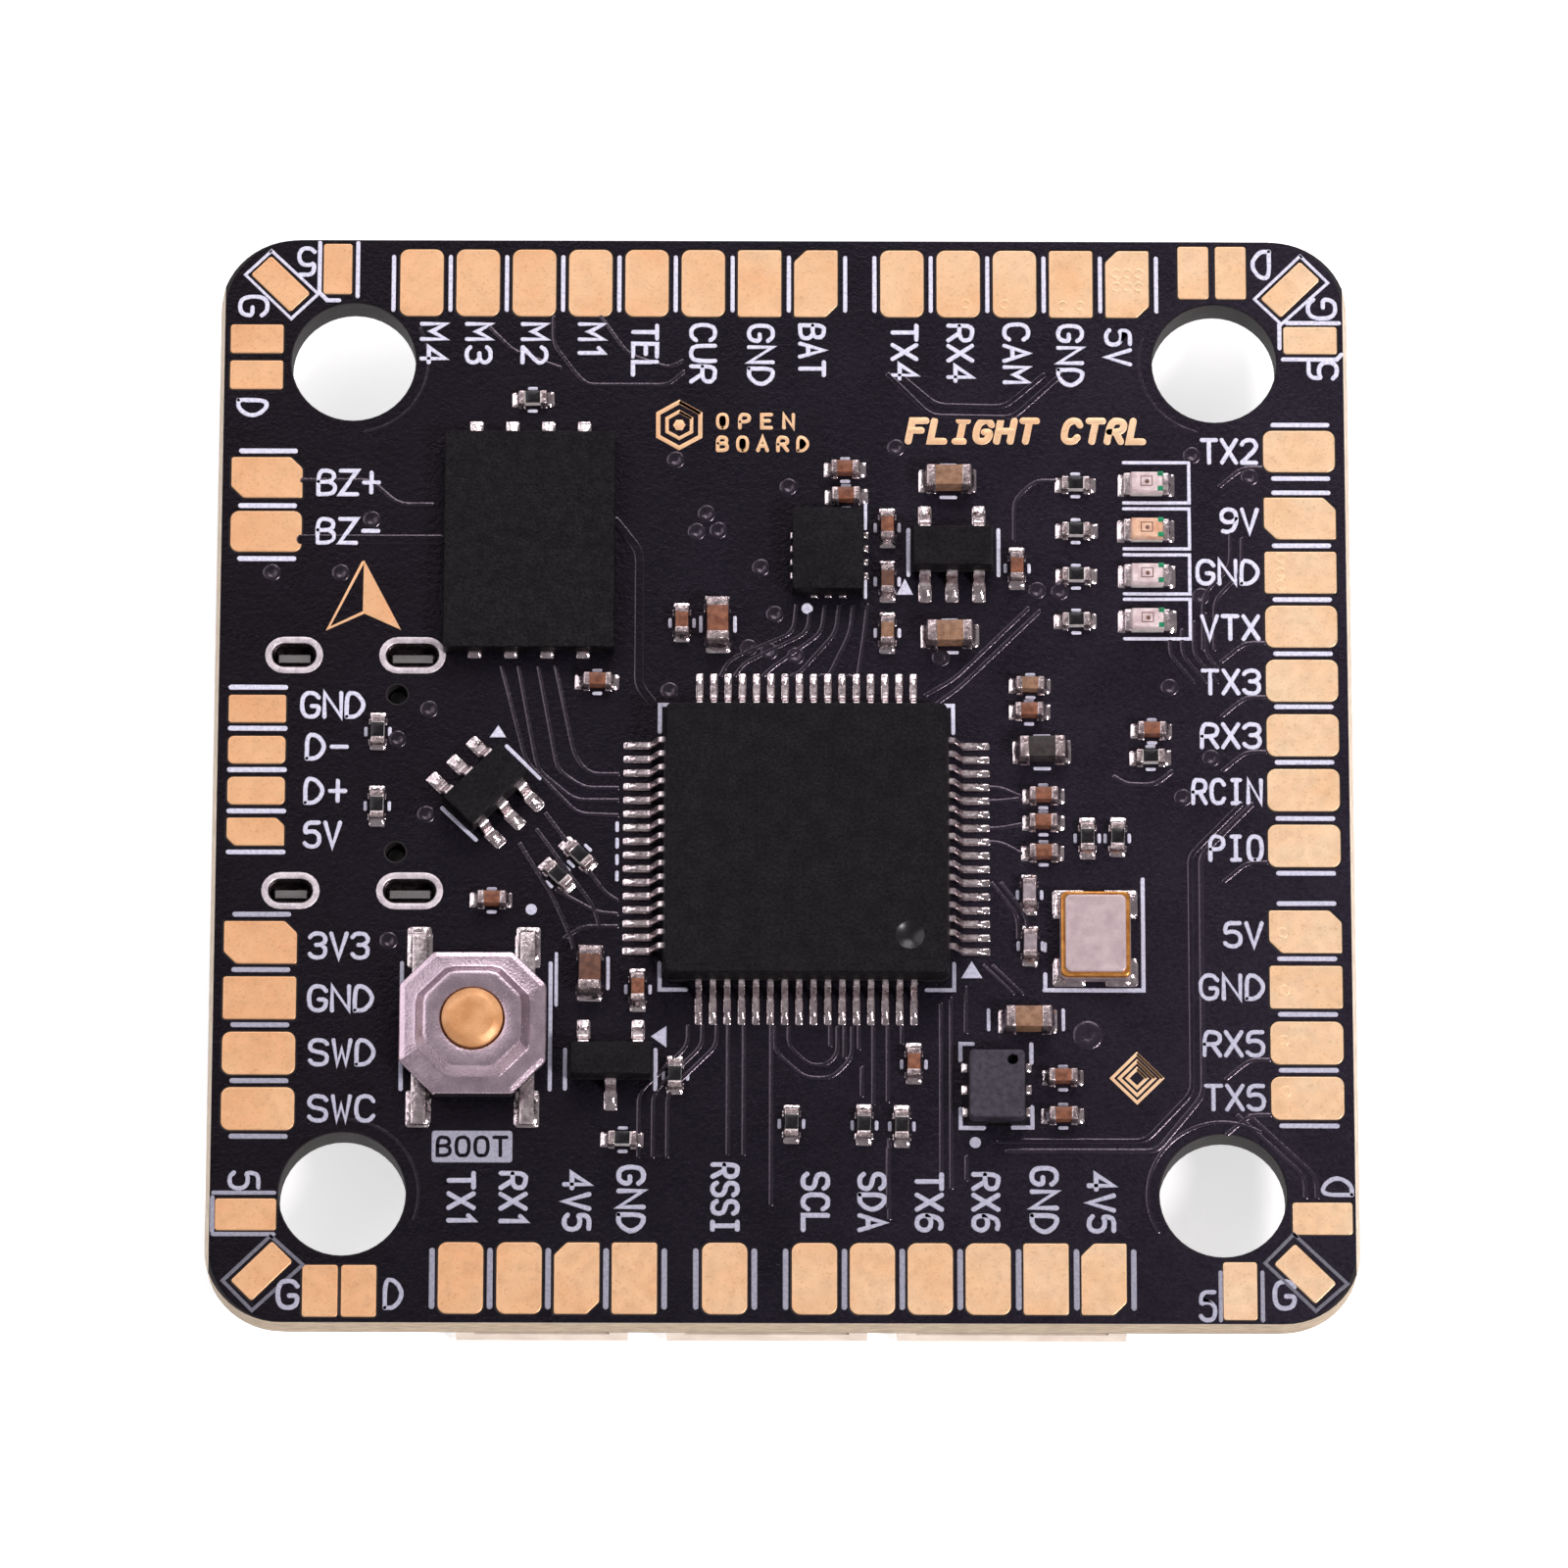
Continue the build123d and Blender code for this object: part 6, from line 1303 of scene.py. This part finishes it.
for sx in (-1, 1):
    for sy in (-1, 1):
        slab(st, rounded(0.54, 2.46, 0.06, 3), SX + sx * 1.88, SY + sy * 2.25, 0, ZT, ZT + 0.18, r=0.05)
        far = 3.70 if sy > 0 else 3.56
        slab(sold, rounded(0.86, far - 2.2, 0.12, 3), SX + sx * 1.90, SY + sy * (far + 2.2) / 2, 0, ZT - 0.002, ZT + 0.04, r=0.035, seg=2)
        mound(sold, SX + sx * 1.88, SY, 90 * sy, 3.44, far - 0.01, 0.72, 0.14, z=ZT + 0.02, power=1.6, side=2.5)
        for s in (0, 180):
            mound(sold, SX + sx * 1.88, SY + sy * 2.95, s, 0.25, 0.44, 1.0, 0.13, z=ZT + 0.02, nu=4, power=1.7, side=3)
st.make("switch_feet", ["tin"], replaces=["boot_switch_terminals"], slot="tinned_lead")

# ---- plated slots for the USB shell, with the solder that fills them; the barrel below its top ring and the solder take a dark metal that is painted shade
ring, blob = Shape(), Flippable()


def slot_loop(x, y, l, w, z, n=10, wob=0.0):
    r = w / 2
    out = []
    for s, a0 in ((1, -90), (-1, 90)):
        for k in range(n + 1):
            a = math.radians(a0 + 180 * k / n)
            out.append((x + s * (l / 2 - r) + r * math.cos(a), y + r * math.sin(a), z))
    return out


for tx, tl, tw in ((-17.20, 1.60, 0.90), (-13.04, 1.90, 0.90)):
    for s in (-1, 1):
        ty = 4.32 * s
        g = 0.44
        ring.loops([slot_loop(tx, ty, tl + g, tw + g, ZT - 0.035), slot_loop(tx, ty, tl + g, tw + g, ZT + 0.004), slot_loop(tx, ty, tl + g - 0.06, tw + g - 0.06, ZT + 0.020),
                    slot_loop(tx, ty, tl + 0.10, tw + 0.10, ZT + 0.022), slot_loop(tx, ty, tl - 0.02, tw - 0.02, ZT - 0.01)], cap0=False, cap1=False)
        ring.loops([slot_loop(tx, ty, tl - 0.02, tw - 0.02, ZT - 0.01), slot_loop(tx, ty, tl - 0.10, tw - 0.10, ZT - 0.12),
                    slot_loop(tx, ty, tl - 0.10, tw - 0.10, 0.12), slot_loop(tx, ty, tl - 0.04, tw - 0.04, 0.01), slot_loop(tx, ty, tl + 0.08, tw + 0.08, -0.015),
                    slot_loop(tx, ty, tl + 0.30, tw + 0.30, -0.014), slot_loop(tx, ty, tl + 0.36, tw + 0.36, 0.004), slot_loop(tx, ty, tl + 0.36, tw + 0.36, 0.04),
                    slot_loop(tx, ty, tl, tw, 0.05), slot_loop(tx, ty, tl, tw, ZT - 0.045), slot_loop(tx, ty, tl + g, tw + g, ZT - 0.035)], cap0=False, cap1=False, mat=1)
        # solder: climbs the slot wall and dips at the middle, in the dark painted-shade metal
        lv = []
        for d, z in ((0.10, 0.30), (0.10, 0.86), (0.16, 0.72), (0.30, 0.62), (0.50, 0.60), (0.66, 0.66)):
            lv.append([(px, py + (0.0 if d < 0.3 else -0.02), z + 0.03 * math.sin(3 * px + 5 * py + tx)) for px, py, _ in slot_loop(tx, ty, tl - d, max(tw - d, 0.14), 0)])
        blob.loops(lv)
ring.make("slot_barrels", ["slot_tin", "throat_painted_shade"], replaces=["usb_slot_plating"], slot="plated_hole", smooth=50)
blob.make("slot_solder", ["throat_painted_shade"], slot="solder", smooth=70)

# ===================================================================== lower face
ob, olz = Flippable(), Flippable()
ob.flip = olz.flip = sold.flip = True
moulded(ob, 8.6, 3.2, 0, 4.40, 9.70, 0.08, 0.55, 1.10, 0.14, r=0.05, corner=0.1)
for i in range(14):
    r = (i - 6.5) * 0.65
    for s, a in ((1, 0), (-1, 180)):
        lead(olz, 8.6 + s * 2.2, 3.2 + r, a, 1.0, 0.5, 0.55, 0.13, 0.22, z=0)
        mound(sold, 8.6 + s * 2.2, 3.2 + r, a, 0.96, 1.3, 0.28, 0.11, z=0.0, nu=5, nv=5, power=1.5, side=2.5)
ob.make("video_chip_body", ["moulding"], replaces=["osd_package"], slot="black_moulding", smooth=30)
olz.make("video_chip_pins", ["tin"], replaces=["osd_leads"], slot="tinned_lead", smooth=40)
ic, it = Flippable(), Flippable()
for x, y in ((-8.2, 9.6), (1.2, 9.6)):
    ic.flip = it.flip = sold.flip = True
    slab(ic, rounded(4.0, 4.0, 0.45, 6), x, y, 0, 0.31, 2.0, r=0.16, seg=4, low_r=0.05)
    for s in (-1, 1):
        slab(ic, rounded(0.42, 3.9, 0.1, 3), x + s * 0.0, y, 0, 0.08, 0.32, r=0.01)
        slab(it, rounded(0.96, 3.2, 0.08, 3), x + s * 1.52, y, 0, 0.0, 0.30, r=0.04)
        mound(sold, x, y, 0 if s > 0 else 180, 1.99, 2.4, 3.1, 0.26, z=0, nv=14, power=1.8)
ic.make("choke_bodies", ["iron"], replaces=["buck_inductor_cores"], slot="inductor_core")
it.make("choke_ends", ["tin"], replaces=["buck_inductor_terminals"], slot="tinned_lead")
bk, bkl = Flippable(), Flippable()
for x, y in ((-8.2, 4.9), (1.2, 4.9)):
    sot(bk, bkl, x, y, 0, 2.9, 1.6, 1.10, (-0.95, 0, 0.95), (-0.95, 0, 0.95), z=0.0, up=False)
bk.make("converter_bodies", ["moulding"], replaces=["buck_regulator_packages"], slot="black_moulding", smooth=30)
bkl.make("converter_pins", ["tin"], replaces=["buck_regulator_leads"], slot="tinned_lead", smooth=40)
pc, pt = Flippable(), Flippable()
for x, y, a in ((-12.6, 9.6, 90), (-4.0, 9.6, 90), (5.0, 9.9, 90), (-12.6, 5.6, 90), (-4.0, 5.6, 90)):
    chip(pc, pt, x, y, a, (2.0, 1.25, 1.25, 0.45), up=False, r=0.06, cap_r=0.12)
pc.make("power_capacitor_blocks", ["brown"], replaces=["power_capacitor_bodies"], slot="brown_ceramic")
pt.make("power_capacitor_ends", ["cap_end"], replaces=["power_capacitor_terminals"], slot="tinned_lead", smooth=50)
sold.flip = False
sold.make("solder_fillets", ["solder"], slot="solder", smooth=65)

# ===================================================================== stage
sc = bpy.context.scene
low = min(v[2] for v in START)
me = bpy.data.meshes.new("floor")
bm = bmesh.new()
bmesh.ops.create_grid(bm, x_segments=1, y_segments=1, size=3.0)
bm.to_mesh(me)
bm.free()
floor = bpy.data.objects.new("floor", me)
floor.location = (0, 0, low - 0.00002)
sc.collection.objects.link(floor)
m, nt, p = new_material("floor_white")
p.inputs["Base Color"].default_value = (0.94, 0.94, 0.94, 1)
p.inputs["Emission Color"].default_value = (1.0, 1.0, 1.0, 1)
p.inputs["Emission Strength"].default_value = 0.64
p.inputs["Roughness"].default_value = 0.9
p.inputs["Specular IOR Level"].default_value = 0.0
me.materials.append(m)

world = bpy.data.worlds.new("studio")
world.use_nodes = True
world.node_tree.nodes["Background"].inputs["Color"].default_value = (1.0, 0.96, 1.0, 1)
world.node_tree.nodes["Background"].inputs["Strength"].default_value = 0.22
sc.world = world


def lamp(name, at_mm, size, power, color=(1, 1, 1)):
    d = bpy.data.lights.new(name, "AREA")
    d.shape = "DISK"
    d.size = size
    d.energy = power
    d.color = color
    o = bpy.data.objects.new(name, d)
    o.location = Vector(at_mm) * MM
    o.rotation_euler = (Vector((0, 0, 0)) - o.location).to_track_quat("-Z", "Y").to_euler()
    sc.collection.objects.link(o)
    return o


lamp("key", (230, -150, 260), 0.09, 1.12, (1.0, 0.955, 0.97))
lamp("fill", (-260, 160, 260), 0.38, 0.55, (1.0, 0.965, 1.0))
lamp("back", (60, 330, 250), 0.24, 0.64, (1.0, 0.97, 0.985))

cam = bpy.data.cameras.new("camera")
cam.sensor_width = 36.0
cam.lens = 241.54
cam.clip_start = 0.01
cam.clip_end = 20.0
co = bpy.data.objects.new("camera", cam)
R = Matrix(((0.99999326, 0.00142468, 0.00338485), (-0.002358, 0.95568546, 0.29438026), (-0.00281546, -0.29438626, 0.95568238))).transposed()
co.matrix_world = Matrix.Translation(Vector((-1.0124, -108.852, 353.525)) * MM) @ R.to_4x4()
sc.collection.objects.link(co)
sc.camera = co
sc.view_settings.view_transform = "Standard"
